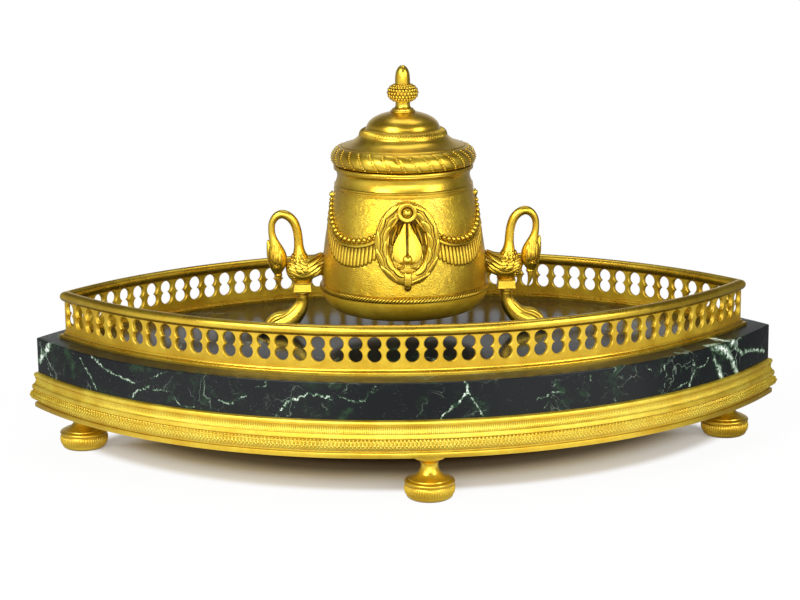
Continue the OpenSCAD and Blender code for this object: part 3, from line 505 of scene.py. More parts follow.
@dataclass(frozen=True)
class Porcelain:
    """White glazed porcelain, stained by ink near the bottom."""

    glaze: Color = (0.80, 0.78, 0.72)
    ink: Color = (0.012, 0.012, 0.03)
    stain_top: float = 104.0

    def material(self) -> bpy.types.Material:
        """Builds the material.

        Returns:
            The porcelain material.
        """
        material, g, where = surface_graph("porcelain")
        _, _, z = g.split(where)
        tide = z + g.noise(where, 7 * MM, 3.0) * 0.005
        stain = tide.ramp(self.stain_top * MM, (self.stain_top + 2.5) * MM, 1.0, 0.0)
        runs = g.noise(g.vector("MULTIPLY", where, (1.0, 1.0, 0.12)), 4 * MM, 3.0).ramp(0.58, 0.72) * 0.45
        tint = g.mix_color(
            g.noise(where, 20 * MM).ramp(0.3, 0.7), self.glaze, tuple(c * 0.93 for c in self.glaze)
        )
        color = g.mix_color(stain.most(runs * tide.ramp(0.1, 0.13, 1.0, 0.0)), tint, self.ink)
        finish_surface(g, {"Base Color": color, "Roughness": 0.14 + stain * 0.2}, coat=0.4)
        return material


@dataclass(frozen=True)
class Steel:
    """Old turned steel of nuts, rods and pins, slightly browned."""

    bright: Color = (0.42, 0.41, 0.39)
    brown: Color = (0.16, 0.09, 0.05)

    def material(self) -> bpy.types.Material:
        """Builds the material.

        Returns:
            The steel material.
        """
        material, g, where = surface_graph("steel")
        cloud = g.noise(where, 5 * MM, 4.0, 0.65)
        rust = cloud.ramp(0.5, 0.75, 0.0, 0.7)
        color = g.mix_color(rust, self.bright, self.brown)
        bump = g.bump(g.noise(where, 0.8 * MM, 3.0), 0.03 * MM)
        inputs = {"Base Color": color, "Metallic": rust.ramp(0.0, 0.7, 1.0, 0.5), "Normal": bump}
        finish_surface(g, {**inputs, "Roughness": 0.34 + rust * 0.4})
        return material


# ---------------------------------------------------------------- mesh tools


def smoothed(points: Sequence[Sequence[float]], steps: int = 6) -> Points:
    """A curve through control points, with rounded corners.

    Args:
        points: The control points; the first two numbers place them, others follow along.
        steps: How many pieces each span is cut into.

    Returns:
        The curve's points.
    """
    p = np.asarray(points, float)
    ends = np.vstack([2 * p[0] - p[1], p, 2 * p[-1] - p[-2]])
    rows = []
    for a, b, c, d in zip(ends, ends[1:], ends[2:], ends[3:]):
        for t in np.arange(steps) / steps:
            slope, bend, twist = c - a, 2 * a - 5 * b + 4 * c - d, 3 * b - a - 3 * c + d
            rows.append(0.5 * (2 * b + slope * t + bend * t**2 + twist * t**3))
    return np.vstack([rows, p[-1]])


def arc(cx: float, cz: float, rx: float, rz: float, start: float, end: float, n: int = 12) -> Points:
    """Points on an ellipse, from one angle to another in degrees."""
    a = np.radians(np.linspace(start, end, n + 1))
    return np.column_stack([cx + rx * np.cos(a), cz + rz * np.sin(a)])


def near(x: float, z: float, *offsets: tuple[float, float]) -> Points:
    """Outline points, given by their offsets from (x, z)."""
    return np.array(offsets, float) + (x, z)


def run_length(points: Points) -> Points:
    """How far along the line through all the points each one lies."""
    return np.concatenate([[0.0], np.cumsum(np.linalg.norm(np.diff(points, axis=0), axis=1))])


def grid_of(x: Points | float, y: Points | float, z: Points | float) -> Points:
    """Points from their coordinates, which are stretched to one shape."""
    return np.stack(np.broadcast_arrays(x, y, z), -1)


def polar(reach: Points | float, angle: Points | float, height: Points | float) -> Points:
    """Points at a distance from the Z axis, at an angle round it from the front, at a height."""
    return grid_of(reach * np.sin(angle), -reach * np.cos(angle), height)

def outline(*parts: Sequence[Sequence[float]]) -> Points:
    """Joins runs of (x, z) points into one outline and drops repeated points.

    Args:
        parts: The runs, in order.

    Returns:
        The outline.
    """
    p = np.vstack([np.asarray(part, float).reshape(-1, 2) for part in parts])
    keep = np.ones(len(p), bool)
    keep[1:] = np.linalg.norm(np.diff(p, axis=0), axis=1) > 1e-4
    return p[keep]


def grid_faces(rows: int, columns: int, wrap_rows: bool = False, wrap_columns: bool = False) -> Faces:
    """Quads over a grid of points that are numbered row by row.

    Args:
        rows: How many rows of points.
        columns: How many points in a row.
        wrap_rows: Whether the last row joins the first.
        wrap_columns: Whether the last column joins the first.

    Returns:
        The faces.
    """
    faces: Faces = []
    for i in range(rows if wrap_rows else rows - 1):
        k = (i + 1) % rows
        for j in range(columns if wrap_columns else columns - 1):
            m = (j + 1) % columns
            faces.append((i * columns + j, k * columns + j, k * columns + m, i * columns + m))
    return faces

def tube_faces(rows: int, columns: int) -> Faces:
    """Quads round rows of points, with one face over each end."""
    ends = [tuple(range(columns)), tuple(range((rows - 1) * columns, rows * columns))]
    return grid_faces(rows, columns, False, True) + ends


def linked(name: str, data: bpy.types.ID) -> bpy.types.Object:
    """A new object around its data, linked to the scene.

    Args:
        name: The object's name.
        data: Its mesh, lamp or camera.

    Returns:
        The object.
    """
    made = bpy.data.objects.new(name, data)
    bpy.context.scene.collection.objects.link(made)
    return made


@dataclass
class Piece:
    """A mesh in the making: points in millimetres, faces, an optional path map and the painted shade at each
    point.
    """

    points: Points
    faces: Faces
    path: Points | None = None
    soil: Points | None = None

    def moved(self, change: Callable[[Points], Points]) -> "Piece":
        """The same faces on changed points."""
        return Piece(change(self.points.copy()), self.faces, self.path, self.soil)

    def with_painted_shade(self, rule: Callable[[Points], Points]) -> "Piece":
        """The same mesh with painted shade, 0 to 1, that follows from its points."""
        return Piece(self.points, self.faces, self.path, np.clip(rule(self.points), 0, 1).astype(float))

    def build(self, name: str, smooth: float, loose: bool = False) -> bpy.types.Object:
        """Makes the Blender object, in metres.

        Args:
            name: The object's name.
            smooth: Edges sharper than this many degrees stay sharp.
            loose: Whether points stay apart and faces keep the side that they are given.

        Returns:
            The object, linked to the scene.
        """
        mesh = bpy.data.meshes.new(name)
        mesh.from_pydata((self.points * MM).tolist(), [], self.faces)
        if self.path is not None:
            layer = mesh.uv_layers.new(name="path")
            index = np.empty(len(mesh.loops), np.int32)
            mesh.loops.foreach_get("vertex_index", index)
            layer.data.foreach_set("uv", self.path[index].astype(np.float32).ravel())
        # The painted shade goes onto the points as an attribute that the gilt reads.
        if self.soil is not None:
            layer = mesh.attributes.new("soil", "FLOAT", "POINT")
            layer.data.foreach_set("value", self.soil.astype(np.float32))
        bm = bmesh.new()
        bm.from_mesh(mesh)
        if not loose:
            bmesh.ops.remove_doubles(bm, verts=bm.verts, dist=WELD * MM)
        bmesh.ops.dissolve_degenerate(bm, dist=1e-7, edges=bm.edges)
        if not loose:
            bmesh.ops.recalc_face_normals(bm, faces=bm.faces)
        bm.to_mesh(mesh)
        bm.free()
        mesh.shade_smooth()
        mesh.set_sharp_from_angle(angle=math.radians(smooth))
        return linked(name, mesh)


def joined(pieces: Sequence[Piece]) -> Piece:
    """Several pieces as one.

    Args:
        pieces: The pieces, in the order in which their points and faces are numbered.

    Returns:
        The whole, with zeros where a piece has no path map or no painted shade.
    """
    starts = np.cumsum([0, *(len(p.points) for p in pieces)])
    faces = [tuple(int(i + start) for i in f) for p, start in zip(pieces, starts) for f in p.faces]
    path = np.vstack([np.zeros((len(p.points), 2)) if p.path is None else p.path for p in pieces])
    soil = np.concatenate([np.zeros(len(p.points)) if p.soil is None else p.soil for p in pieces])
    return Piece(np.vstack([p.points for p in pieces]), faces, path, soil)


def flipped(piece: Piece, factors: Sequence[float]) -> Piece:
    """A mirror image, with its faces turned back outwards."""
    points = piece.points * np.asarray(factors, float)
    return Piece(points, [f[::-1] for f in piece.faces], piece.path, piece.soil)


def lathe(profile: Points, segments: int, ring: bool = False) -> Piece:
    """Turns an outline round the Z axis.

    Args:
        profile: (radius, height) points, from one end of the axis to the other, or a closed ring.
        segments: How many steps round.
        ring: Whether the outline closes on itself.

    Returns:
        The turned piece, with its path map along the rim and up the outline.
    """
    p = np.asarray(profile, float)
    angle = np.repeat((np.arange(segments + 1) * math.tau / segments)[:, None], len(p), 1)
    path = np.dstack([angle * p[:, 0].max(), np.tile(run_length(p), (segments + 1, 1))]).reshape(-1, 2)
    points = polar(p[:, 0], angle, p[:, 1]).reshape(-1, 3)
    return Piece(points, grid_faces(segments + 1, len(p), False, ring), path)


def sheet(grid: Points, soil: Points) -> Piece:
    """An open sheet over a grid of points, facing rows cross columns, with the painted shade at each point.
    """
    dirt_and_shade = np.array(np.broadcast_to(soil, grid.shape[:2]), float).ravel()
    return Piece(grid.reshape(-1, 3), grid_faces(*grid.shape[:2]), None, dirt_and_shade)


def capped(piece: Piece, name: str, levels: tuple[float, float], smooth: float = 40.0) -> bpy.types.Object:
    """Builds an upright wall and closes it with a flat face at each level.

    Args:
        piece: The wall.
        name: The object's name.
        levels: The heights of the two faces.
        smooth: Edges sharper than this many degrees stay sharp.

    Returns:
        The closed object.
    """
    made = piece.build(name, smooth)
    bm = bmesh.new()
    bm.from_mesh(made.data)
    for level in levels:
        rim = [e for e in bm.edges if e.is_boundary and all(abs(v.co.z - level * MM) < 1e-6 for v in e.verts)]
        bmesh.ops.holes_fill(bm, edges=rim, sides=0)
    bmesh.ops.recalc_face_normals(bm, faces=bm.faces)
    for face in bm.faces:
        face.smooth = True
    bm.to_mesh(made.data)
    bm.free()
    made.data.set_sharp_from_angle(angle=math.radians(smooth))
    return made


def tube(spine: Points, radii: Points, sides: int) -> Piece:
    """Sweeps an oval along a spine that bends in the XZ plane.

    Args:
        spine: (x, y, z) points.
        radii: (in the plane, across it) at each point.
        sides: How many sides the oval has.

    Returns:
        The closed tube.
    """
    along = np.gradient(spine, axis=0)
    along /= np.linalg.norm(along, axis=1)[:, None]
    normal = np.cross(along, (0.0, 1.0, 0.0))
    normal /= np.linalg.norm(normal, axis=1)[:, None]
    side = np.cross(normal, along)
    a = np.arange(sides) * math.tau / sides
    rows = [
        s + n * r[0] * c + b * r[1] * d
        for s, n, b, r in zip(spine, normal, side, radii)
        for c, d in zip(np.cos(a), np.sin(a))
    ]
    return Piece(np.array(rows), tube_faces(len(spine), sides))


def ball(radius: float, rows: int, columns: int) -> Piece:
    """A small ball for beads.

    Args:
        radius: Its radius.
        rows: How many steps from pole to pole.
        columns: How many steps round.

    Returns:
        The ball.
    """
    profile = arc(0, 0, radius, radius, -90, 90, rows)
    profile[0, 0] = profile[-1, 0] = 0.0
    return lathe(profile, columns)


def place(
    piece: Piece, at: Sequence[float], turn: Matrix | None = None, size: Sequence[float] = (1, 1, 1)
) -> Piece:
    """Scales, turns and then moves a piece.

    Args:
        piece: The piece.
        at: Where its origin goes.
        turn: How it is turned, or None.
        size: Its scale along each axis.

    Returns:
        The placed piece.
    """

    def change(p: Points) -> Points:
        """Applies the three steps.

        Args:
            p: The points.

        Returns:
            The changed points.
        """
        p = p * np.asarray(size, float)
        if turn is not None:
            p = p @ np.array(turn.to_3x3()).T
        return p + np.asarray(at, float)

    return piece.moved(change)


def copy_of_node(node: str, smooth: float) -> bpy.types.Object:
    """A welded and smoothed copy of a CAD node's mesh.

    Args:
        node: The CAD node.
        smooth: Edges sharper than this many degrees stay sharp.

    Returns:
        The copy, linked to the scene.
    """
    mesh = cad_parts[node].data.copy()
    mesh.name = node + "_dressed"
    mesh.materials.clear()
    bm = bmesh.new()
    bm.from_mesh(mesh)
    bmesh.ops.remove_doubles(bm, verts=bm.verts, dist=1e-6)
    bm.to_mesh(mesh)
    bm.free()
    if mesh.has_custom_normals:
        mesh.attributes.remove(mesh.attributes["custom_normal"])
    mesh.shade_smooth()
    mesh.set_sharp_from_angle(angle=math.radians(smooth))
    return linked(mesh.name, mesh)


# ---------------------------------------------------------------- repeats


class Repeat:
    """A Geometry Nodes tree that repeats a unit, run once and turned into a plain mesh."""

    def __init__(self, name: str, inputs: dict[str, tuple[str, object]]) -> None:
        """Makes the tree with its named inputs.

        Args:
            name: The tree's name.
            inputs: Each input's socket type and default value.
        """
        self.tree = bpy.data.node_groups.new(name, "GeometryNodeTree")
        self.graph = Graph(self.tree)
        self.tree.interface.new_socket("Geometry", in_out="INPUT", socket_type="NodeSocketGeometry")
        self.keys: dict[str, str] = {}
        for label, (kind, value) in {**inputs, "Finish": ("NodeSocketMaterial", None)}.items():
            socket = self.tree.interface.new_socket(label, in_out="INPUT", socket_type=kind)
            if value is not None:
                socket.default_value = value
            self.keys[label] = socket.identifier
        self.tree.interface.new_socket("Geometry", in_out="OUTPUT", socket_type="NodeSocketGeometry")
        self.source = self.tree.nodes.new("NodeGroupInput")

    def given(self, label: str) -> Wire:
        """The wire of a named input."""
        return Wire(self.graph, self.source.outputs[label])

    def close(self, instances: Wire) -> None:
        """Ends the tree: realizes the instances and gives them their finish.

        Args:
            instances: The instances.
        """
        whole = self.graph.node("GeometryNodeRealizeInstances", {}, {"Geometry": instances})
        dressed = self.graph.node(
            "GeometryNodeSetMaterial", {}, {"Geometry": whole, "Material": self.given("Finish")}
        )
        self.graph.node("NodeGroupOutput", {}, {"Geometry": dressed}, None)

    def run(
        self, unit: Piece, name: str, finish: bpy.types.Material, smooth: float, **values: object
    ) -> bpy.types.Object:
        """Repeats a unit.

        Args:
            unit: What is repeated.
            name: The new object's name.
            finish: The material.
            smooth: Edges sharper than this many degrees stay sharp.
            values: The tree's inputs, with underscores for spaces.

        Returns:
            The repeated mesh as one plain object.
        """
        source = unit.build(name + "_unit", smooth)
        modifier = source.modifiers.new("repeat", "NODES")
        modifier.node_group = self.tree
        for label, value in {**values, "Finish": finish}.items():
            modifier[self.keys[label.replace("_", " ")]] = value
        graph = bpy.context.evaluated_depsgraph_get()
        ready = source.evaluated_get(graph)
        mesh = bpy.data.meshes.new_from_object(ready, preserve_all_data_layers=True, depsgraph=graph)
        mesh.name = name
        source.modifiers.clear()
        bpy.data.objects.remove(source)
        return linked(name, mesh)


def ring_repeat() -> Repeat:
    """Repeats a unit round the Z axis, with an optional shift up and a half-step start.

    Returns:
        The repeat.
    """
    made = Repeat("ring_repeat", {"Count": ("NodeSocketInt", 24), "Start": ("NodeSocketFloat", 0.0)})
    g = made.graph
    points = g.node("GeometryNodePoints", {}, {"Count": made.given("Count")})
    index = g.node("GeometryNodeInputIndex")
    angle = made.given("Start") + index * math.tau / made.given("Count")
    placed = g.node(
        "GeometryNodeInstanceOnPoints",
        {},
        {"Points": points, "Instance": made.given("Geometry"), "Rotation": g.joined(0.0, 0.0, angle)},
    )
    made.close(placed)
    return made


def path_repeat() -> Repeat:
    """Repeats a unit on the points of a path object, turned and sized by its point attributes.

    Returns:
        The repeat.
    """
    made = Repeat("path_repeat", {"Path": ("NodeSocketObject", None), "Size": ("NodeSocketFloat", 1.0)})
    g = made.graph
    source = {"Object": made.given("Path")}
    path = g.node("GeometryNodeObjectInfo", {"transform_space": "ORIGINAL"}, source, "Geometry")
    turn, size = (
        g.node("GeometryNodeInputNamedAttribute", {"data_type": "FLOAT_VECTOR"}, {"Name": name}, "Attribute")
        for name in ("turn", "size")
    )
    spots = {"Points": path, "Rotation": turn, "Scale": g.scaled(size, made.given("Size"))}
    placed = g.node("GeometryNodeInstanceOnPoints", {}, {**spots, "Instance": made.given("Geometry")})
    made.close(placed)
    return made


def arc_repeat() -> Repeat:
    """Lays tiles in a row, welds them, bends the row to one long side and repeats it on the other.

    The tiles' y is the distance outside the arc, and the row is stretched so that every line
    in it ends on the mitre at the tips.

    Returns:
        The repeat.
    """
    made = Repeat(
        "arc_repeat",
        {
            "Count": ("NodeSocketInt", 45),
            "Pitch": ("NodeSocketFloat", 0.0086),
            "Arc Radius": ("NodeSocketFloat", 0.2),
            "Arc Centre": ("NodeSocketFloat", 0.117),
        },
    )
    g = made.graph
    pitch, radius, count = made.given("Pitch"), made.given("Arc Radius"), made.given("Count")
    points = g.node("GeometryNodePoints", {}, {"Count": count})
    along = (g.node("GeometryNodeInputIndex") - (count - 1) * 0.5) * pitch
    row = g.node("GeometryNodeSetPosition", {}, {"Geometry": points, "Position": g.joined(along, 0.0, 0.0)})
    placed = g.node("GeometryNodeInstanceOnPoints", {}, {"Points": row, "Instance": made.given("Geometry")})
    flat = g.node("GeometryNodeRealizeInstances", {}, {"Geometry": placed})
    welded = g.node("GeometryNodeMergeByDistance", {}, {"Geometry": flat, "Distance": 2e-6})
    x, y, z = g.split(g.node("GeometryNodeInputPosition"))
    reach = radius + y
    angle = x / (count * pitch * 0.5) * (made.given("Arc Centre") / reach).arccos()
    bent = g.joined(reach * angle.sin(), made.given("Arc Centre") - reach * angle.cos(), z)
    front = g.node("GeometryNodeSetPosition", {}, {"Geometry": welded, "Position": bent})
    back = g.node("GeometryNodeTransform", {}, {"Geometry": front, "Rotation": (0.0, 0.0, math.pi)})
    both = g.tree.nodes.new("GeometryNodeJoinGeometry")
    for side in (back, front):
        g.tree.links.new(side.socket, both.inputs[0])
    made.close(Wire(g, both.outputs[0]))
    return made


def path_points(name: str, spots: Points, turns: Points, sizes: Points) -> bpy.types.Object:
    """A helper object whose points carry a turn and a size.

    Args:
        name: The object's name.
        spots: Points in millimetres.
        turns: Euler angles in radians.
        sizes: Scale factors.

    Returns:
        The helper, which is removed once it has been used.
    """
    mesh = bpy.data.meshes.new(name)
    mesh.from_pydata((spots * MM).tolist(), [], [])
    for label, rows in (("turn", turns), ("size", sizes)):
        layer = mesh.attributes.new(label, "FLOAT_VECTOR", "POINT")
        layer.data.foreach_set("vector", np.asarray(rows, np.float32).ravel())
    return linked(name, mesh)


class Workshop:
    """Holds the repeats and the finishes that the sub-assemblies share, and reports each piece."""

    def __init__(self, finishes: dict[str, bpy.types.Material]) -> None:
        """Builds the repeats once and keeps the finishes.

        Args:
            finishes: The materials by their short names.
        """
        self.finishes = finishes
        self.ring = ring_repeat()
        self.path = path_repeat()
        self.arc = arc_repeat()

    def round_about(
        self, unit: Piece, name: str, finish: str, count: int, smooth: float, start: float = 0.0
    ) -> bpy.types.Object:
        """Repeats a unit round the Z axis."""
        return self.ring.run(unit, name, self.finishes[finish], smooth, Count=count, Start=start)

    def along(
        self, unit: Piece, name: str, finish: str, spots: list[tuple], smooth: float
    ) -> bpy.types.Object:
        """Repeats a unit at spots.

        Args:
            unit: What is repeated.
            name: The new object's name.
            finish: The finish's name.
            spots: For each copy its point, its Euler angles in radians and its size.
            smooth: Edges sharper than this many degrees stay sharp.

        Returns:
            The repeated mesh.
        """
        points, turns, sizes = (np.array([np.asarray(s[k], float) for s in spots]) for k in range(3))
        helper = path_points(name + "_path", points, turns, sizes)
        made = self.path.run(unit, name, self.finishes[finish], smooth, Path=helper)
        bpy.data.objects.remove(helper)
        return made

    def arc_row(
        self, unit: Piece, name: str, finish: str, sides: "LongSides", pitch: float, smooth: float
    ) -> bpy.types.Object:
        """Lays tiles along both long sides.

        Args:
            unit: The tile, x along the side and y outwards.
            name: The new object's name.
            finish: The finish's name.
            sides: The arcs that the tiles follow.
            pitch: The width of the tile; the row is stretched to a whole number of them.
            smooth: Edges sharper than this many degrees stay sharp.

        Returns:
            The row on both sides, as one mesh.
        """
        values = {"Count": round(sides.arc_length() / pitch), "Pitch": pitch * MM}
        values |= {"Arc_Radius": sides.radius * MM, "Arc_Centre": sides.centre * MM}
        return self.arc.run(unit, name, self.finishes[finish], smooth, **values)

    def dress(self, made: bpy.types.Object, finish: str) -> bpy.types.Object:
        """Gives an object one finish.

        Args:
            made: The object.
            finish: The finish's name.

        Returns:
            The object.
        """
        made.data.materials.clear()
        made.data.materials.append(self.finishes[finish])
        return made

    def cast(
        self, piece: Piece, name: str, finish: str, smooth: float, loose: bool = False
    ) -> bpy.types.Object:
        """Builds a piece and gives it one finish."""
        return self.dress(piece.build(name, smooth, loose), finish)

    def fit(self, made: bpy.types.Object, *nodes: str, body: str = STAND, slot: str = "gilt_bronze") -> None:
        """Puts a finished piece on its body.

        Args:
            made: The piece.
            nodes: The CAD nodes that it stands for; a single one also names it.
            body: The CAD body that it moves with.
            slot: The record's material slot; it is not used.
        """
        made.name = made.data.name = (nodes[0] if len(nodes) == 1 else made.name.split(".")[0]) + "_piece"
        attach(made, body)
        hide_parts(*nodes)
        LOG.info("%s: %d faces on %s", made.name, len(made.data.polygons), body)


def merged(name: str, parts: Sequence[bpy.types.Object]) -> bpy.types.Object:
    """Joins objects into one, keeping each one's material.

    Args:
        name: The new object's name.
        parts: The objects, which are used up.

    Returns:
        The joined object.
    """
    with bpy.context.temp_override(active_object=parts[0], selected_editable_objects=list(parts)):
        bpy.ops.object.join()
    parts[0].name = parts[0].data.name = name
    return parts[0]


# ---------------------------------------------------------------- studio


@dataclass
class Lamp:
    """A square soft lamp that looks at a point."""

    name: str
    place: tuple[float, float, float]
    width: float
    height: float
    power: float
    aim: tuple[float, float, float] = (0.0, 0.0, 0.09)
    color: Color = (1.0, 1.0, 1.0)

    def build(self) -> None:
        """Adds the lamp to the scene."""
        data = bpy.data.lights.new(self.name, "AREA")
        data.shape = "RECTANGLE"
        data.size, data.size_y = self.width, self.height
        data.energy, data.color = self.power, self.color
        lamp = linked(self.name, data)
        lamp.location = self.place
        lamp.rotation_euler = (Vector(self.aim) - Vector(self.place)).to_track_quat("-Z", "Y").to_euler()


@dataclass
class Studio:
    """The camera, the lamps, the white surroundings and the floor."""

    lens: float = 99.8
    camera_place: tuple[float, float, float] = (-0.0399, -1.0590, 0.3092)
    camera_aim: tuple[float, float, float] = (-0.0023, 0.0, 0.0711)
    camera_roll: float = -0.0103
    ambient: float = 0.55
    floor_radius: float = 6.0
    floor_color: Color = (0.80, 0.80, 0.81)
    shade_color: Color = (0.085, 0.052, 0.029)
    stand_radius: float = 0.212
    stand_centre: float = 0.112
    lamps: tuple[Lamp, ...] = (
        Lamp("key", (-0.85, -1.0, 1.05), 0.7, 0.7, 16.0),
        Lamp("fill", (1.05, -0.85, 0.75), 0.6, 0.8, 8.0),
        Lamp("front", (0.0, -1.55, 0.5), 1.4, 0.5, 12.5),
        Lamp("top", (0.1, 0.35, 1.3), 0.9, 0.5, 3.0),
    )

    def build(self) -> None:
        """Builds the whole studio."""
        self._camera()
        for lamp in self.lamps:
            lamp.build()
        self._world()
        self._floor()
        bpy.context.scene.view_settings.view_transform = "Standard"
        LOG.info("studio: %d lamps", len(self.lamps))

    def _camera(self) -> None:
        """Places the camera."""
        data = bpy.data.cameras.new("camera")
        data.lens, data.sensor_width = self.lens, 36.0
        data.clip_start, data.clip_end = 0.05, 50.0
        place = Vector(self.camera_place)
        ahead = (Vector(self.camera_aim) - place).normalized()
        right = ahead.cross(Vector((0, 0, 1))).normalized()
        up = right.cross(ahead)
        c, s = math.cos(self.camera_roll), math.sin(self.camera_roll)
        right, up = right * c + up * s, up * c - right * s
        camera = linked("camera", data)
        camera.matrix_world = Matrix.Translation(place) @ Matrix((right, up, -ahead)).transposed().to_4x4()
        bpy.context.scene.camera = camera

    def _room(self, g: Graph, outward: Wire) -> Wire:
        """How bright the room looks in polished metal, by direction.

        White screens stand left and right of the camera; between them and past the sides it is darker.

        Args:
            g: The graph.
            outward: A vector from the object outwards.

        Returns:
            The brightness, 0 to 1.
        """
        x, y, _ = g.split(g.vector("NORMALIZE", g.vector("MULTIPLY", outward, (1.0, 1.0, 0.0))))
        aside = abs(x)
        screens = aside.ramp(0.10, 0.55, 0.50, 1.0) * x.ramp(0.86, 0.99, 1.0, 0.22)
        screens = screens * x.ramp(-1.0, -0.93, 0.55, 1.0)
        behind = aside.ramp(0.35, 0.85, 0.34, 0.14) + x.ramp(-0.95, -0.5, 0.2, 0.0)
        ahead = y.ramp(-0.12, 0.12, 1.0, 0.0)
        return screens * ahead + behind * (1 - ahead)

    def _rays(self, g: Graph) -> tuple[Wire, Wire]:
        """Whether a ray comes from the camera or through glass, and whether it comes off polished metal.

        Args:
            g: The graph.

        Returns:
            1 where it is so and 0 where it isn't, for each.
        """
        path = g.tree.nodes.new("ShaderNodeLightPath")
        kinds = ("Camera", "Transmission", "Glossy")
        camera, through, glossy = (Wire(g, path.outputs[f"Is {kind} Ray"]) for kind in kinds)
        return camera.most(through), glossy

    def _world(self) -> None:
        """White to the eye and in glass; screens under a dim ceiling in metal."""
        world = bpy.data.worlds.new("surroundings")
        world.use_nodes = True
        world.node_tree.nodes.clear()
        g = Graph(world.node_tree)
        seen, glossy = self._rays(g)
        outward = g.node("ShaderNodeTexCoord", output="Generated")
        _, back, height = g.split(outward)
        wall = back.ramp(0.80, 0.93) * height.ramp(0.30, 0.42, 0.6, 0.0)
        room = (self._room(g, outward) * height.ramp(0.12, 0.60, 1.0, 0.16)).most(wall)
        level = seen + (1 - seen) * (glossy * room + (1 - glossy) * self.ambient)
        lit = g.node("ShaderNodeBackground", {}, {"Color": (1.0, 1.0, 1.0), "Strength": level})
        g.node("ShaderNodeOutputWorld", {}, {"Surface": lit}, None)
        bpy.context.scene.world = world

    def _floor(self) -> None:
        """A pale disc with a painted shadow under the stand, which glows white round it."""
        steps = np.linspace(0, math.tau, 64, endpoint=False)
        rim = [(self.floor_radius * math.sin(a), self.floor_radius * math.cos(a), 0.0) for a in steps]
        mesh = bpy.data.meshes.new("floor")
        mesh.from_pydata(rim, [], [tuple(range(len(rim) - 1, -1, -1))])
        floor = linked("floor", mesh)
        material, g, where = surface_graph("floor")
        seen, glossy = self._rays(g)
        outside = g.farther(where, self.stand_centre) - self.stand_radius
        # Painted shadow: under the stand the floor's colour darkens to shade_color; to the camera and in
        # metal it glows white from just inside the stand's outline outwards, with a paler step at the
        # shadow's edge.
        fringe = outside.ramp(-0.040, -0.026, 0.0, 0.22)
        white = fringe + outside.ramp(-0.022, -0.012, 0.0, 0.72) + outside.ramp(0.0, 0.35, 0.0, 0.06)
        paler = outside.ramp(-0.068, -0.052, 0.0, 0.25) + outside.ramp(-0.052, -0.035, 0.0, 0.75)
        shade = g.mix_color(paler, self.shade_color, self.floor_color)
        matte = g.node("ShaderNodeBsdfDiffuse", {}, {"Color": shade})
        level = seen + (1 - seen) * self._room(g, where)
        glow = g.node("ShaderNodeEmission", {}, {"Color": (1.0, 1.0, 1.0), "Strength": level})
        both = g.node("ShaderNodeMixShader", {}, {0: seen.most(glossy) * white, 1: matte, 2: glow})
        g.node("ShaderNodeOutputMaterial", {}, {"Surface": both}, None)
        mesh.materials.append(material)


# ---------------------------------------------------------------- stand


@dataclass
class LongSides:
    """The two arcs that the plan of the stand is drawn with, in millimetres."""

    half_l: float = 180.0
    half_w: float = 100.0

    @property
    def radius(self) -> float:
        """The radius of each arc."""
        return (self.half_l**2 + self.half_w**2) / (2 * self.half_w)

    @property
    def centre(self) -> float:
        """How far each arc's centre lies past the middle."""
        return self.radius - self.half_w

    def end_angle(self, out: float | Points) -> float | Points:
        """The angle from the middle to the tip, for a line that runs outside the arc."""
        return np.arccos(self.centre / (self.radius + out))

    def point(self, share: float | Points, out: float | Points) -> tuple[Points, Points]:
        """The front side's x and y.

        Args:
            share: -1 at the left tip, 1 at the right tip.
            out: How far outside the arc.

        Returns:
            x and y.
        """
        angle = share * self.end_angle(out)
        return (self.radius + out) * np.sin(angle), self.centre - (self.radius + out) * np.cos(angle)

    def arc_length(self) -> float:
        """The length of one side."""
        return 2 * self.radius * float(self.end_angle(0.0))

    def sweep(self, section: Points, stations: int, ring: bool = True) -> Piece:
        """Sweeps a section of (outward distance, height) points round both sides, mitred at the tips.

        Args:
            section: The outline, upwards on its outer side.
            stations: Steps along each side.
            ring: Whether the outline closes on itself.

        Returns:
            The swept piece with its path map.
        """
        s = np.asarray(section, float)
        share = np.linspace(-1, 1, stations + 1)
        x, y = self.point(share[:, None], s[None, :, 0])
        u = np.tile((share * self.arc_length() / 2)[:, None], (1, len(s)))
        path = np.dstack([u, np.tile(run_length(s), (stations + 1, 1))]).reshape(-1, 2)
        faces = grid_faces(stations + 1, len(s), False, ring)
        front = Piece(grid_of(x, y, s[:, 1]).reshape(-1, 3), faces, path)
        return joined([front, Piece(front.points * (-1, -1, 1), faces, path)])


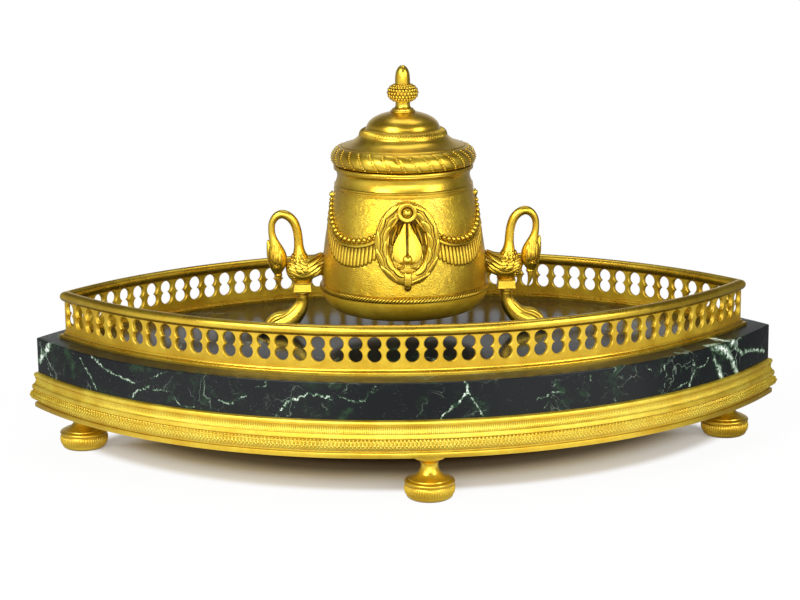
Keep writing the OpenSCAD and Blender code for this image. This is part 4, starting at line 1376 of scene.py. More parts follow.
@dataclass
class Base:
    """Feet, bottom plate, engine-turned moulding and marble slab."""

    sides: LongSides = field(default_factory=LongSides)
    plate_z: float = 20.7
    plate_t: float = 2.5
    plate_out: float = 2.0
    moulding_z: float = 23.2
    moulding_h: float = 15.1
    round_out: float = 4.2
    round_h: float = 5.8
    lozenge: float = 1.75
    lozenge_relief: float = 0.5
    flute_pitch: float = 0.85
    marble_z: float = 37.5
    marble_top: float = 55.5
    foot_places: tuple[tuple[float, float], ...] = ((-159.0, 0.0), (159.0, 0.0), (7.0, -93.7), (7.0, 93.7))
    foot_names: tuple[str, ...] = ("foot_left", "foot_right", "foot_front", "foot_back")
    foot_r: float = 11.75
    foot_reeds: int = 60
    # (radius, height) of the foot's upper part, from the bead to the plate
    foot_cone: Rows = (
        (8.5, 9.75), (6.9, 10.5), (5.5, 11.7), (4.6, 13.2), (4.15, 14.8), (4.0, 16.0), (4.2, 16.9),
        (4.85, 17.7), (6.1, 18.5), (7.1, 18.9),
    )

    def build(self, shop: Workshop) -> None:
        """Builds and dresses the base.

        Args:
            shop: The shared repeats and finishes.
        """
        self._plate(shop)
        self._moulding(shop)
        self._marble(shop)
        for name, place_xy in zip(self.foot_names, self.foot_places):
            self._foot(shop, name, place_xy)

    def _plate(self, shop: Workshop) -> None:
        """The bottom plate, with softened edges.

        Args:
            shop: The shared repeats and finishes.
        """
        low, out, top = self.plate_z, self.plate_out, self.plate_z + self.plate_t
        lower = near(out, low, (-0.35, 0), (-0.08, 0.12), (0, 0.4))
        upper = near(out, top, (0, -0.4), (-0.1, -0.1), (-0.4, 0))
        made = capped(self.sides.sweep(outline(lower, upper), 120, False), "bottom_plate", (low, top))
        shop.fit(shop.dress(made, "gilt"), "bottom_plate")

    def _moulding(self, shop: Workshop) -> None:
        """The moulding: a smooth core, a round cut in lozenges and a finely fluted hollow.

        Args:
            shop: The shared repeats and finishes.
        """
        z0, h = self.moulding_z, self.moulding_h
        groove, round_top, band_top, lip_z = 0.9, 1.0 + self.round_h, 9.1, self.moulding_h - 2.7
        round_z, rx, rz = 1 + self.round_h / 2, self.round_out - 0.9, self.round_h / 2
        core = outline(
            [(-12, 0), (groove, 0), (groove, 0.75)],
            arc(groove, round_z, rx - 0.6, rz - 0.3, -75, 75, 10),
            near(0, round_top, (2.7, 0.05), (3.0, 0.3), (2.95, 0.95)),
            near(0, band_top, (2.75, -0.3), (2.5, -0.05), (1.9, 0), (1.15, 0.9)),
            near(0, lip_z, (0.85, -0.9), (1.0, -0.1), (1.6, 0)),
            arc(0.9, lip_z + 1.3, 1.1, 1.25, -65, 78, 9),
            near(0, h, (0.15, 0), (0.15, -0.8), (-8.5, -0.8), (-8.5, -3.3), (-2.5, -3.3)),
            [(-2.5, 2.5), (-12, 2.5)],
        )
        body = shop.cast(self.sides.sweep(core + (0, z0), 170), "moulding_core", "gilt_turned", 30)
        rows, across = np.arange(17), np.arange(5)[:, None]
        a = np.radians(-80 + 160 * rows / 16)
        d, z = groove + rx * np.cos(a), z0 + round_z + rz * np.sin(a)
        step, lean = (across + rows) % 4, (across - rows) % 4
        peak = np.where((step == 0) & (lean == 0), 0.0, np.where((step == 2) | (lean == 2), 1.0, 0.35))
        peak = np.where((step == 2) & (lean == 2), 1.7, peak)
        cut = self.lozenge_relief * peak * np.minimum(1, np.sin(math.pi * rows / 16) * 2.2)
        grid = grid_of((across / 4 - 0.5) * self.lozenge, d - cut * np.cos(a), z - cut * np.sin(a))
        # Painted shade in the deepest cuts of the lozenges.
        unit = sheet(grid, np.clip(peak - 0.5, 0, 1) * 0.8)
        turned = shop.arc_row(unit, "moulding_round", "gilt_turned", self.sides, self.lozenge, 25)
        low_half = near(0, band_top, (2.35, 0.02), (1.75, 0.75), (1.35, 1.7))
        hollow = smoothed(outline(low_half, near(0, lip_z, (1.35, -0.55), (1.6, -0.02))), 2)
        across = np.array([-0.5, -0.25, 0.0, 0.25, 0.5])[:, None]
        bulge = 0.26 * np.cos(across * math.pi) - 0.13
        ends = np.minimum(1, np.sin(math.pi * np.linspace(0.05, 0.95, len(hollow))) * 2.5)
        grid = grid_of(across * self.flute_pitch, hollow[:, 0] + bulge * ends, z0 + hollow[:, 1])
        # Painted shade in the grooves between the flutes.
        unit = sheet(grid, np.where(np.abs(across) > 0.4, 0.8, 0.0))
        fluted = shop.arc_row(unit, "moulding_hollow", "gilt_turned", self.sides, self.flute_pitch, 60)
        bead = place(ball(0.42, 4, 6), (0, 2.55, z0 + round_top + 0.02))
        dots = shop.arc_row(bead, "moulding_dots", "gilt_bright", self.sides, self.lozenge, 80)
        made = merged("base_moulding", [body, turned, fluted, dots])
        shop.fit(made, "base_moulding_front", "base_moulding_back")

    def _marble(self, shop: Workshop) -> None:
        """The slab, with its edges eased.

        Args:
            shop: The shared repeats and finishes.
        """
        low, top, e = self.marble_z, self.marble_top, 0.5
        section = outline([(-0.15, low)], [(0, low + 0.15)], arc(-e, top - e, e, e, 0, 90, 5))
        made = capped(self.sides.sweep(section, 240, False), "marble_slab", (low, top))
        shop.fit(shop.dress(made, "marble"), "marble_slab", slot="marble")

    def _foot(self, shop: Workshop, name: str, place_xy: tuple[float, float]) -> None:
        """One turned foot: flared neck, cone, bead and a reeded bun.

        Args:
            shop: The shared repeats and finishes.
            name: The foot's CAD node.
            place_xy: Where its axis stands.
        """
        r, top = self.foot_r, self.plate_z
        bun = (
            (-2.3, 0.1), (-1.3, 0.8), (-1.0, 1.6), (-0.95, 2.3), (-0.55, 3.4), (-0.35, 4.6), (-0.45, 5.8),
            (-0.8, 6.5),
        )
        core = outline(
            [(0, 0), (r - 2.6, 0)],
            smoothed(near(r, 0, *bun), 3),
            arc(r - 1.6, 7.75, 1.5, 1.05, -50, 72, 8),
            near(r, 0, (-1.75, 8.85), (-2.0, 8.95), (-2.15, 9.3)),
            smoothed([(r - 2.2, 9.4), *self.foot_cone], 4),
            [(7.35, 19.2), (7.35, top), (0, top)],
        )
        body = shop.cast(lathe(core, 96), name + "_core", "gilt", 35)
        inset = np.array([0.85, 0.62, 0.32, 0.2, 0.35, 0.85])
        height = np.array([2.25, 2.5, 3.6, 4.6, 5.9, 6.5])
        across = np.array([-0.5, -0.3, 0.0, 0.3, 0.5])[:, None]
        reach = r - inset + (0.62 * np.cos(across * math.pi) - 0.42)
        grid = polar(reach, across * (math.tau / self.foot_reeds), height)
        # Painted shade in the grooves between the reeds.
        unit = sheet(grid, np.where(np.abs(across) > 0.4, 0.9, 0.0))
        reeds = shop.round_about(unit, name + "_reeds", "gilt_satin", self.foot_reeds, 60)
        made = merged(name, [body, reeds])
        made.data.transform(Matrix.Translation(Vector((*place_xy, 0)) * MM))
        shop.fit(made, name)


@dataclass
class Gallery:
    """The pierced fence: a stepped strip, a band with pairs of round holes and a round rail."""

    sides: LongSides = field(default_factory=lambda: LongSides(164.8, 84.8))
    floor_z: float = 55.5
    half_w: float = 3.4
    strip_h: float = 2.8
    band_t: float = 1.6
    band_low: float = 56.8
    band_high: float = 74.0
    hole_r: float = 3.2
    hole_z: tuple[float, float] = (64.35, 69.85)
    pairs: int = 45
    rail_z: float = 75.8
    rail_r: float = 2.6

    def build(self, shop: Workshop) -> None:
        """Builds and dresses the gallery.

        Args:
            shop: The shared repeats and finishes.
        """
        self._strip(shop)
        rail = self.sides.sweep(arc(0, self.rail_z, self.rail_r, self.rail_r, -180, 180, 28)[:-1], 200)
        # Painted shade on the rail's underside, darker towards the bottom.
        rail = rail.with_painted_shade(lambda p: (self.rail_z - 0.5 - p[:, 2]) * 0.6)
        made = shop.cast(rail, "gallery_rail", "gilt_bright", 50)
        shop.fit(made, "gallery_rail_front", "gallery_rail_back")
        pitch = self.sides.arc_length() / self.pairs
        band = shop.arc_row(self._tile(pitch), "gallery_band", "gilt_satin", self.sides, pitch, 30)
        shop.fit(band, "gallery_band_front", "gallery_band_back")

    def _strip(self, shop: Workshop) -> None:
        """The strip on the marble: a flat foot, a hollow and the lip that holds the band.

        Args:
            shop: The shared repeats and finishes.
        """
        z, w, h = self.floor_z, self.half_w, self.strip_h
        slot = self.band_t / 2 + 0.02
        hollow = w - 1.6 - slot
        side = outline(
            [(w, z), (w, z + h - 1.7)],
            arc(w - 0.5, z + h - 1.6, 0.5, 0.4, 10, 90, 4),
            arc(slot + 0.7 + hollow, z + h, hollow, 1.2, 270, 180, 7),
            [(slot, z + h), (slot, z + h - 0.8)],
        )
        section = outline(side, side[::-1] * (-1, 1))
        made = shop.cast(self.sides.sweep(section, 180), "gallery_strip", "gilt_bright", 35)
        shop.fit(made, "gallery_strip_front", "gallery_strip_back")

    def _tile(self, pitch: float) -> Piece:
        """One pitch of the band with its keyhole-shaped pair of holes, rims eased.

        Args:
            pitch: The width of the tile.

        Returns:
            The tile, x along the band and y outwards.
        """
        r, (z0, z1), half = self.hole_r, self.hole_z, self.band_t / 2
        gap = (z1 - z0) / 2
        waist = math.degrees(math.acos(gap / r))
        middle = (z0 + z1) / 2
        upper = arc(0, z1, r, r, -90 + waist, 270 - waist, 22)
        lower = arc(0, z0, r, r, 90 + waist, 450 - waist, 22)
        hole = outline(upper, lower[1:-1])
        spots = hole - (0, middle)
        angle = np.arctan2(spots[:, 1], spots[:, 0])
        w, low, high = pitch / 2, self.band_low - middle, self.band_high - middle
        reach = np.minimum(
            w / np.maximum(np.abs(np.cos(angle)), 1e-9),
            np.where(np.sin(angle) > 0, high, -low) / np.maximum(np.abs(np.sin(angle)), 1e-9),
        )
        frame_points = np.column_stack([np.cos(angle) * reach, np.sin(angle) * reach])
        for corner in ((w, high), (-w, high), (-w, low), (w, low)):
            frame_points[int(np.argmin(np.linalg.norm(frame_points - corner, axis=1)))] = corner
        step = spots / np.linalg.norm(spots, axis=1)[:, None]
        normal = np.roll(spots, -1, 0) - np.roll(spots, 1, 0)
        normal = np.column_stack([normal[:, 1], -normal[:, 0]])
        normal /= np.linalg.norm(normal, axis=1)[:, None]
        normal *= np.sign((normal * step).sum(1))[:, None]
        ease = 0.28
        rim = spots + normal * ease
        flats = (frame_points, rim, spots, spots, rim, frame_points)
        outs = (half, half, half - ease, ease - half, -half, -half)
        rings = [grid_of(p[:, 0], out, p[:, 1] + middle) for p, out in zip(flats, outs)]
        # Painted shade in the bores of the holes and faintly over the inner face.
        dirt_and_shade = np.repeat([0.0, 0.0, 0.2, 0.2, 0.05, 0.05], len(spots))
        faces = [f[::-1] for f in grid_faces(len(rings), len(spots), False, True)]
        return Piece(np.vstack(rings), faces, None, dirt_and_shade)


# ---------------------------------------------------------------- pot


def reshape(made: bpy.types.Object, change: Callable[[Points], Points]) -> bpy.types.Object:
    """Moves the points of a finished mesh.

    Args:
        made: The object.
        change: Turns points in millimetres into new ones.

    Returns:
        The object.
    """
    count = len(made.data.vertices)
    flat = np.empty(count * 3, np.float32)
    made.data.vertices.foreach_get("co", flat)
    moved = change(flat.reshape(-1, 3).astype(float) / MM) * MM
    made.data.vertices.foreach_set("co", moved.astype(np.float32).ravel())
    made.data.update()
    return made


def leaf(length: float, width: float, lift: float, point: float = 0.6, groove: float = 0.0) -> Piece:
    """A leaf that grows along +Z and faces -Y, closed at the back.

    Args:
        length: From its foot to its tip.
        width: At its widest.
        lift: How high its middle stands.
        point: Where along it is widest, 0 to 1.
        groove: How deep the midrib is sunk, or raised when below zero.

    Returns:
        The leaf.
    """
    t = np.array([0.0, 0.12, 0.3, 0.5, 0.68, 0.84, 0.95, 1.0])[:, None]
    swell = np.sin(np.minimum(1, t / point * 0.88 + 0.12) * math.pi / 2)
    taper = np.cos(np.maximum(0, (t - point) / (1 - point)) * math.pi / 2) ** 0.75
    half = np.maximum(np.where(t < point, swell, taper), 0.03) * width / 2
    across = np.array([-1.0, -0.75, -0.28, 0.0, 0.28, 0.75, 1.0])
    rise = np.array([-0.25, 0.55, 1.0, 1.0 - groove, 1.0, 0.55, -0.25])
    body = np.sin(np.clip(t * 1.15 + 0.12, 0, 1) * math.pi) ** 0.5 * 0.75 + 0.25
    # Painted shade along the rims, in a deep midrib and towards the foot.
    midrib = 0.9 if groove > 0.2 else 0.0
    dirt_and_shade = np.maximum(np.array([1.0, 0.3, 0.0, midrib, 0.0, 0.3, 1.0]), 0.9 - 4 * t)
    return sheet(grid_of(half * across, -(lift * body * rise), t * length)[:, ::-1], dirt_and_shade)


def frond(rows: Points, lift: float, groove: float = 0.0) -> Piece:
    """A leaf laid along a flat path, facing -Y, with painted shade along its rim and, when it is grooved, its
    midrib.

    Args:
        rows: (x, z, width) from its foot to its tip.
        lift: How high its middle stands.
        groove: How deep the midrib is sunk.

    Returns:
        The leaf.
    """
    path, wide = rows[:, :2], rows[:, 2:]
    step = np.gradient(path, axis=0)
    step /= np.linalg.norm(step, axis=1)[:, None]
    inward = np.array([0, 1, 1.7, 0, 0, 0, -1.7, -1, 0]) * np.minimum(0.16, 0.34 / wide)
    across = np.array([-0.5, -0.5, -0.5, -0.07, 0.0, 0.07, 0.5, 0.5, 0.5]) + inward
    rise = np.array([-0.25, 0.4, 0.72, 1.0, 1.0 - groove, 1.0, 0.72, 0.4, -0.25])
    dirt_and_shade = np.array([1.0, 1.0, 0.0, 0.0, 1.0 if groove else 0.0, 0.0, 0.0, 1.0, 1.0])
    offset = across * wide
    x, z = path[:, :1] + step[:, 1:] * offset, path[:, 1:] - step[:, :1] * offset
    y = -lift * np.clip(wide / wide.max() * 1.7, 0.25, 1.0) * rise
    return sheet(grid_of(x, y, z)[:, ::-1], dirt_and_shade[::-1])


def basis(along: Points, out: Points) -> Turn:
    """The Euler angles that turn +Z to a direction and -Y to face outwards.

    Args:
        along: Where +Z goes.
        out: Where -Y faces, as nearly as it can.

    Returns:
        The Euler angles.
    """
    a = np.asarray(along, float) / np.linalg.norm(along)
    o = np.asarray(out, float) - a * float(np.dot(out, a))
    o /= np.linalg.norm(o)
    x = np.cross(-o, a)
    return tuple(Matrix(np.column_stack([x, -o, a]).tolist()).to_euler())


@dataclass
class PotForm:
    """The outer shape of the pot's body."""

    foot_r: float = 40.2
    top_r: float = 33.5
    low: float = 80.2
    high: float = 126.8
    wrap_r: float = 37.0

    def radius(self, z: float | Points) -> float | Points:
        """The outer radius at a height."""
        share = np.clip((self.high - np.asarray(z, float)) / (self.high - self.low), 0, 1)
        return self.top_r + (self.foot_r - self.top_r) * np.sin(share * math.pi / 2)

    def wrap(self, turn: float) -> Callable[[Points], Points]:
        """A change that lays a flat ornament round the body.

        Args:
            turn: The azimuth of its middle, in degrees.

        Returns:
            The change; x is the arc, -y the distance outside and z the height.
        """

        def change(p: Points) -> Points:
            """Wraps the points.

            Args:
                p: The points.

            Returns:
                The changed points.
            """
            return polar(self.radius(p[:, 2]) - p[:, 1], math.radians(turn) + p[:, 0] / self.wrap_r, p[:, 2])

        return change


@dataclass
class Pot:
    """The pot: dish, rope ring, chased body, collar, swags, palmettes and knobs."""

    form: PotForm = field(default_factory=PotForm)
    dish_z: float = 67.3
    dish_h: float = 10.7
    dish_flat_r: float = 28.3
    ring_h: float = 2.2
    rope_strands: int = 150
    wall: float = 1.8
    collar_h: float = 11.8
    waist_r: float = 32.1
    collar_top_r: float = 33.8
    bore_r: float = 28.0
    liner_r: float = 29.05
    bead_r: float = 1.25
    bead_pitch: float = 2.95
    swag_low: float = 106.9
    swag_rise: float = 15.6
    swag_half: float = 40.5
    flutes: int = 25
    knob_z: float = 124.1
    wreath_z: float = 107.2
    wreath_half: tuple[float, float] = (10.4, 14.6)
    turns: tuple[tuple[str, float, int], ...] = (
        ("swag_front_right", 45, -1), ("swag_back_right", 135, 1), ("swag_back_left", 225, -1),
        ("swag_front_left", 315, 1),
    )

    def build(self, shop: Workshop) -> None:
        """Builds and dresses the pot.

        Args:
            shop: The shared repeats and finishes.
        """
        self._turned(shop)
        self._rope(shop)
        for name, turn, inner in self.turns:
            self._swag(shop, name, turn, inner)
        for name, turn in (("palmette_front", 0), ("palmette_back", 180)):
            self._palmette(shop, name, turn)
        self._knobs(shop)

    def _turned(self, shop: Workshop) -> None:
        """The turned parts.

        Args:
            shop: The shared repeats and finishes.
        """
        f, w = self.form, self.wall
        rx, top = f.foot_r - self.dish_flat_r, self.dish_z + self.dish_h
        dish = outline(
            [(0, self.dish_z), (self.dish_flat_r, self.dish_z)],
            arc(self.dish_flat_r, top, rx, self.dish_h, -90, 0, 18),
            [(f.foot_r - w, top)],
            arc(self.dish_flat_r, top, rx - w, self.dish_h - w, 0, -90, 10),
            [(0, self.dish_z + w)],
        )
        shop.fit(shop.cast(lathe(dish, 160), "pot_dish", "gilt_matt", 40), "pot_dish")
        z = np.linspace(f.low, f.high, 37)
        side = np.column_stack([f.radius(z), z])
        low = [(f.foot_r, top), (f.foot_r, f.low - 0.1)]
        body = outline(low, side, side[::-2] - (w, 0), [(f.foot_r - w, top)])
        shaded = lathe(body, 240, True).with_painted_shade(self._field)
        shop.fit(shop.cast(shaded, "pot_body", "gilt_chased", 40), "pot_body")
        c, h, t, m, b, r = f.high, self.collar_h, self.collar_top_r, self.waist_r, self.bore_r, f.top_r
        waist = near(m, c, (0.45, 4.6), (0, 6.3), (0.12, 7.8), (0.55, 9.1))
        collar = outline(
            [(b, c)],
            near(r, c, (0.15, 0), (0.3, 0.15), (0.3, 0.8), (-0.1, 1.0)),
            near(r, c, (-0.15, 1.6), (0.02, 1.85), (0.1, 2.2), (0.1, 2.7), (-0.05, 2.85)),
            smoothed([(r - 0.35, c + 3.1), *waist, (t - 0.45, c + 9.8)], 5),
            [(t - 0.12, c + h - 1.75)],
            arc(t - 0.45, c + h - 0.85, 0.45, 0.8, -50, 80, 6),
            [(self.liner_r, c + h), (self.liner_r, c + h - 1.7), (b, c + h - 1.7)],
        )
        shop.fit(shop.cast(lathe(collar, 160, True), "pot_collar", "gilt_smooth", 32), "pot_collar")
        shop.fit(shop.dress(copy_of_node("ink_liner", 30), "porcelain"), "ink_liner", slot="porcelain")

    def _field(self, p: Points) -> Points:
        """The painted shade on the body: thick inside each wreath, heaviest at its top.

        Args:
            p: The body's points.

        Returns:
            The painted shade at each point.
        """
        x, z = np.arctan2(p[:, 0], np.abs(p[:, 1])) * self.form.wrap_r, p[:, 2] - self.wreath_z
        inside = np.hypot(x / self.wreath_half[0], z / self.wreath_half[1])
        return np.clip((1.1 - inside) * 7, 0, 1) * np.interp(z, [-10, 0, 7], [0.3, 0.7, 1.0])

    def _rope(self, shop: Workshop) -> None:
        """The rope ring between dish and body, with two fine lines over it.

        Args:
            shop: The shared repeats and finishes.
        """
        r, z, h = self.form.foot_r - 0.05, self.dish_z + self.dish_h - 0.1, self.ring_h + 0.7
        lines = near(r, z + h, (0.2, 0), (0.22, 0.22), (0.05, 0.3), (0.16, 0.42), (0.14, 0.62), (-0.05, 0.7))
        core = outline([(r, z)], arc(r, z + h / 2, 0.9, h / 2 - 0.05, -88, 80, 10), lines)
        # Painted shade on the core below the fine lines, where it shows between the strands.
        core = lathe(core, 160, True).with_painted_shade(lambda p: p[:, 2] < z + h - 0.2)
        width = math.tau / self.rope_strands
        a = np.radians(np.linspace(-80, 80, 7))
        across = np.array([-0.5, -0.4, -0.2, 0.05, 0.28, 0.5])[:, None]
        lift = np.array([-0.15, 0.05, 0.3, 0.38, 0.25, -0.15])[:, None]
        angle = across * width + width * np.linspace(-1, 1, 7)
        grid = polar(r + (0.9 + lift) * np.cos(a), angle, z + h / 2 + (h / 2 - 0.08) * np.sin(a))
        # Painted shade between the strands.
        unit = sheet(grid, np.array([1.0, 1.0, 0.1, 0.0, 0.2, 1.0])[:, None])
        strands = shop.round_about(unit, "rope_strands", "gilt", self.rope_strands, 60)
        made = merged("pot_bead_ring", [shop.cast(core, "rope_core", "gilt_bright", 60), strands])
        shop.fit(made, "pot_bead_ring")

    def _line(self, t: float | Points, inner: int) -> float | Points:
        """The height of the bead string at a share from the swag's middle, flatter towards the wreath."""
        return self.swag_low + self.swag_rise * np.abs(t) ** np.where(np.asarray(t) * inner > 0, 2.6, 2.0)

    def _swag(self, shop: Workshop, name: str, turn: float, inner: int) -> None:
        """One swag: a bead string, a cord and a pleated fringe.

        Args:
            shop: The shared repeats and finishes.
            name: The swag's CAD node.
            turn: The azimuth of its middle, in degrees.
            inner: The sign of the side by the wreath.
        """
        half = math.radians(self.swag_half) * self.form.wrap_r
        beads, share = [], -1.0
        while share <= 1.0:
            z = float(self._line(share, inner))
            size = 1.0 - 0.2 * abs(share) ** 4
            beads.append(((share * half, -0.45, z), (0, 0, 0), (size, size, size)))
            slope = self.swag_rise * 2.0 * abs(share) / half
            share += self.bead_pitch * (0.75 + 0.25 * size) / math.hypot(1, slope) / half
        # Painted shade on the backs of the beads, towards the pot.
        unit = ball(self.bead_r, 7, 12).with_painted_shade(lambda p: (p[:, 1] - 0.1) * 2.5)
        string = shop.along(unit, name + "_beads", "gilt_bright", beads, 80)
        t = np.linspace(-1, 1, 49)
        low = self._line(t, inner) - 2.75 + 1.6 * np.abs(t) ** 4
        wide = 1.3 * (1 - 0.45 * np.abs(t) ** 6)
        cord = tube(grid_of(t * half, 0.0, low), np.column_stack([wide, 0.85 * wide]), 14)
        # Painted shade on the back of the cord.
        cord = shop.cast(cord.with_painted_shade(lambda p: (p[:, 1] + 0.25) * 3), name + "_cord", "gilt_bright", 60)
        spread, flutes = 0.94, []
        z = np.array([0.0, 0.22, 0.6, 1.2, 2.6, 5.0, 8.0])
        for k in range(self.flutes):
            t = (k + 0.5) / self.flutes * 2 - 1
            drop = 8.6 * (1 - abs(t) ** 2.6) ** 0.7 + 0.8
            top = float(self._line(t * spread, inner)) - 3.6
            size = (1.0, 1.0, (drop + 0.5) / z[-1])
            flutes.append(((t * half * spread, 0.0, top - drop), (0, t * 0.10, 0), size))
        width = half * 2 * spread / self.flutes
        a = np.linspace(0, math.pi, 9)[:, None]
        bulk = np.array([0.1, 0.65, 0.92, 1.0, 1.0, 0.9, 0.7])
        x = -np.cos(a) * width * 0.5 * np.array([0.55, 0.85, 0.97, 1, 1, 1, 1])
        y = -(np.sin(a) ** 0.6 * bulk * 1.1) + 0.14
        # Painted shade between the flutes, at their lower ends and under the cord.
        gaps = np.array([1, 0.4, 0, 0, 0, 0, 0, 0.4, 1.0])[:, None]
        unit = sheet(grid_of(x, y, z), np.maximum(gaps, np.array([1, 0.2, 0, 0, 0, 0, 0.8])))
        fringe = shop.along(unit, name + "_fringe", "gilt", flutes, 70)
        made = merged(name, [cord, string, fringe])
        reshape(made, self.form.wrap(turn))
        shop.fit(made, name)

    def _palmette(self, shop: Workshop, name: str, turn: float) -> None:
        """The palmette behind a wreath: two broad petals, side leaves, a bead and two scrolls.

        Args:
            shop: The shared repeats and finishes.
            name: The palmette's CAD node.
            turn: The azimuth of its middle, in degrees.
        """
        foot = 97.4
        rise = np.array([0.4, 1.5, 3.0, 5.0, 7.5, 10.0, 12.5, 15.0, 17.0, 18.6])
        edge = np.array([3.4, 5.0, 6.3, 7.0, 6.9, 5.9, 4.7, 3.5, 2.6, 1.9])
        broad = smoothed(np.column_stack([edge / 2, rise, edge]), 2)
        outer = [
            (6.5, 8.0, 0.8), (7.0, 10.0, 2.3), (6.8, 12.4, 3.0), (6.0, 14.8, 2.9), (5.0, 16.8, 2.1),
            (4.0, 18.4, 0.5),
        ]
        outer = smoothed(outer, 3)
        inner = smoothed(
            [(4.2, 12.6, 0.5), (4.3, 14.2, 1.6), (3.9, 16.0, 1.9), (3.1, 17.6, 1.5), (2.3, 18.8, 0.5)], 3
        )
        halves = [frond(broad, 1.6), frond(outer, 1.8, 0.4), frond(inner, 1.2, 0.3)]
        halves.append(place(frond(outer, 0.9), (0.25, 0.35, -5.6), None, (0.94, 1, 0.8)))
        petals = joined(halves + [flipped(p, (-1, 1, 1)) for p in halves])
        parts = [shop.cast(place(petals, (0, 0, foot)), "petals", "gilt", 45, True)]
        a = np.linspace(0, 1, 22)
        swirl, r = a * 4.6, 2.3 * (1 - 0.72 * a)
        for side in (-1, 1):
            x = side * (3.9 + r * np.cos(swirl) - 1.0)
            spine = grid_of(x, -0.35, foot - 0.9 - r * np.sin(swirl) * 0.8)
            scroll = tube(spine, np.column_stack([0.55 - 0.15 * a, 0.75 - 0.1 * a]), 8)
            parts.append(shop.cast(scroll, "scroll", "gilt", 60))
        # Painted shade on the back of the bead, towards the pot.
        bead = place(ball(2.5, 9, 18), (0, -0.6, foot + 2.0)).with_painted_shade(lambda p: (p[:, 1] + 1.0) * 1.5)
        parts.append(shop.cast(bead, "bead", "gilt_bright", 80))
        made = merged(name, parts)
        reshape(made, self.form.wrap(turn))
        shop.fit(made, name)

    def _knobs(self, shop: Workshop) -> None:
        """The stepped knobs that the swags hang from.

        Args:
            shop: The shared repeats and finishes.
        """
        profile = outline(
            [(0, 0.15), (1.9, 0.15), (1.9, 0.75)],
            arc(1.5, 0.95, 0.35, 0.25, -20, 90, 4),
            [(1.25, 1.05), (1.2, 1.3)],
            arc(0, 1.3, 1.15, 0.85, 0, 90, 6),
        )
        seat = float(self.form.radius(self.knob_z))
        unit = lathe(profile, 32)
        parts = []
        for side in (1, -1):
            turn = Matrix.Rotation(side * math.pi / 2, 3, "Y")
            turned = place(unit, (side * (seat - 0.2), 0, self.knob_z), turn)
            parts.append(shop.cast(turned, "knob", "gilt_bright", 40))
        shop.fit(merged("side_knobs", parts), "side_knobs")


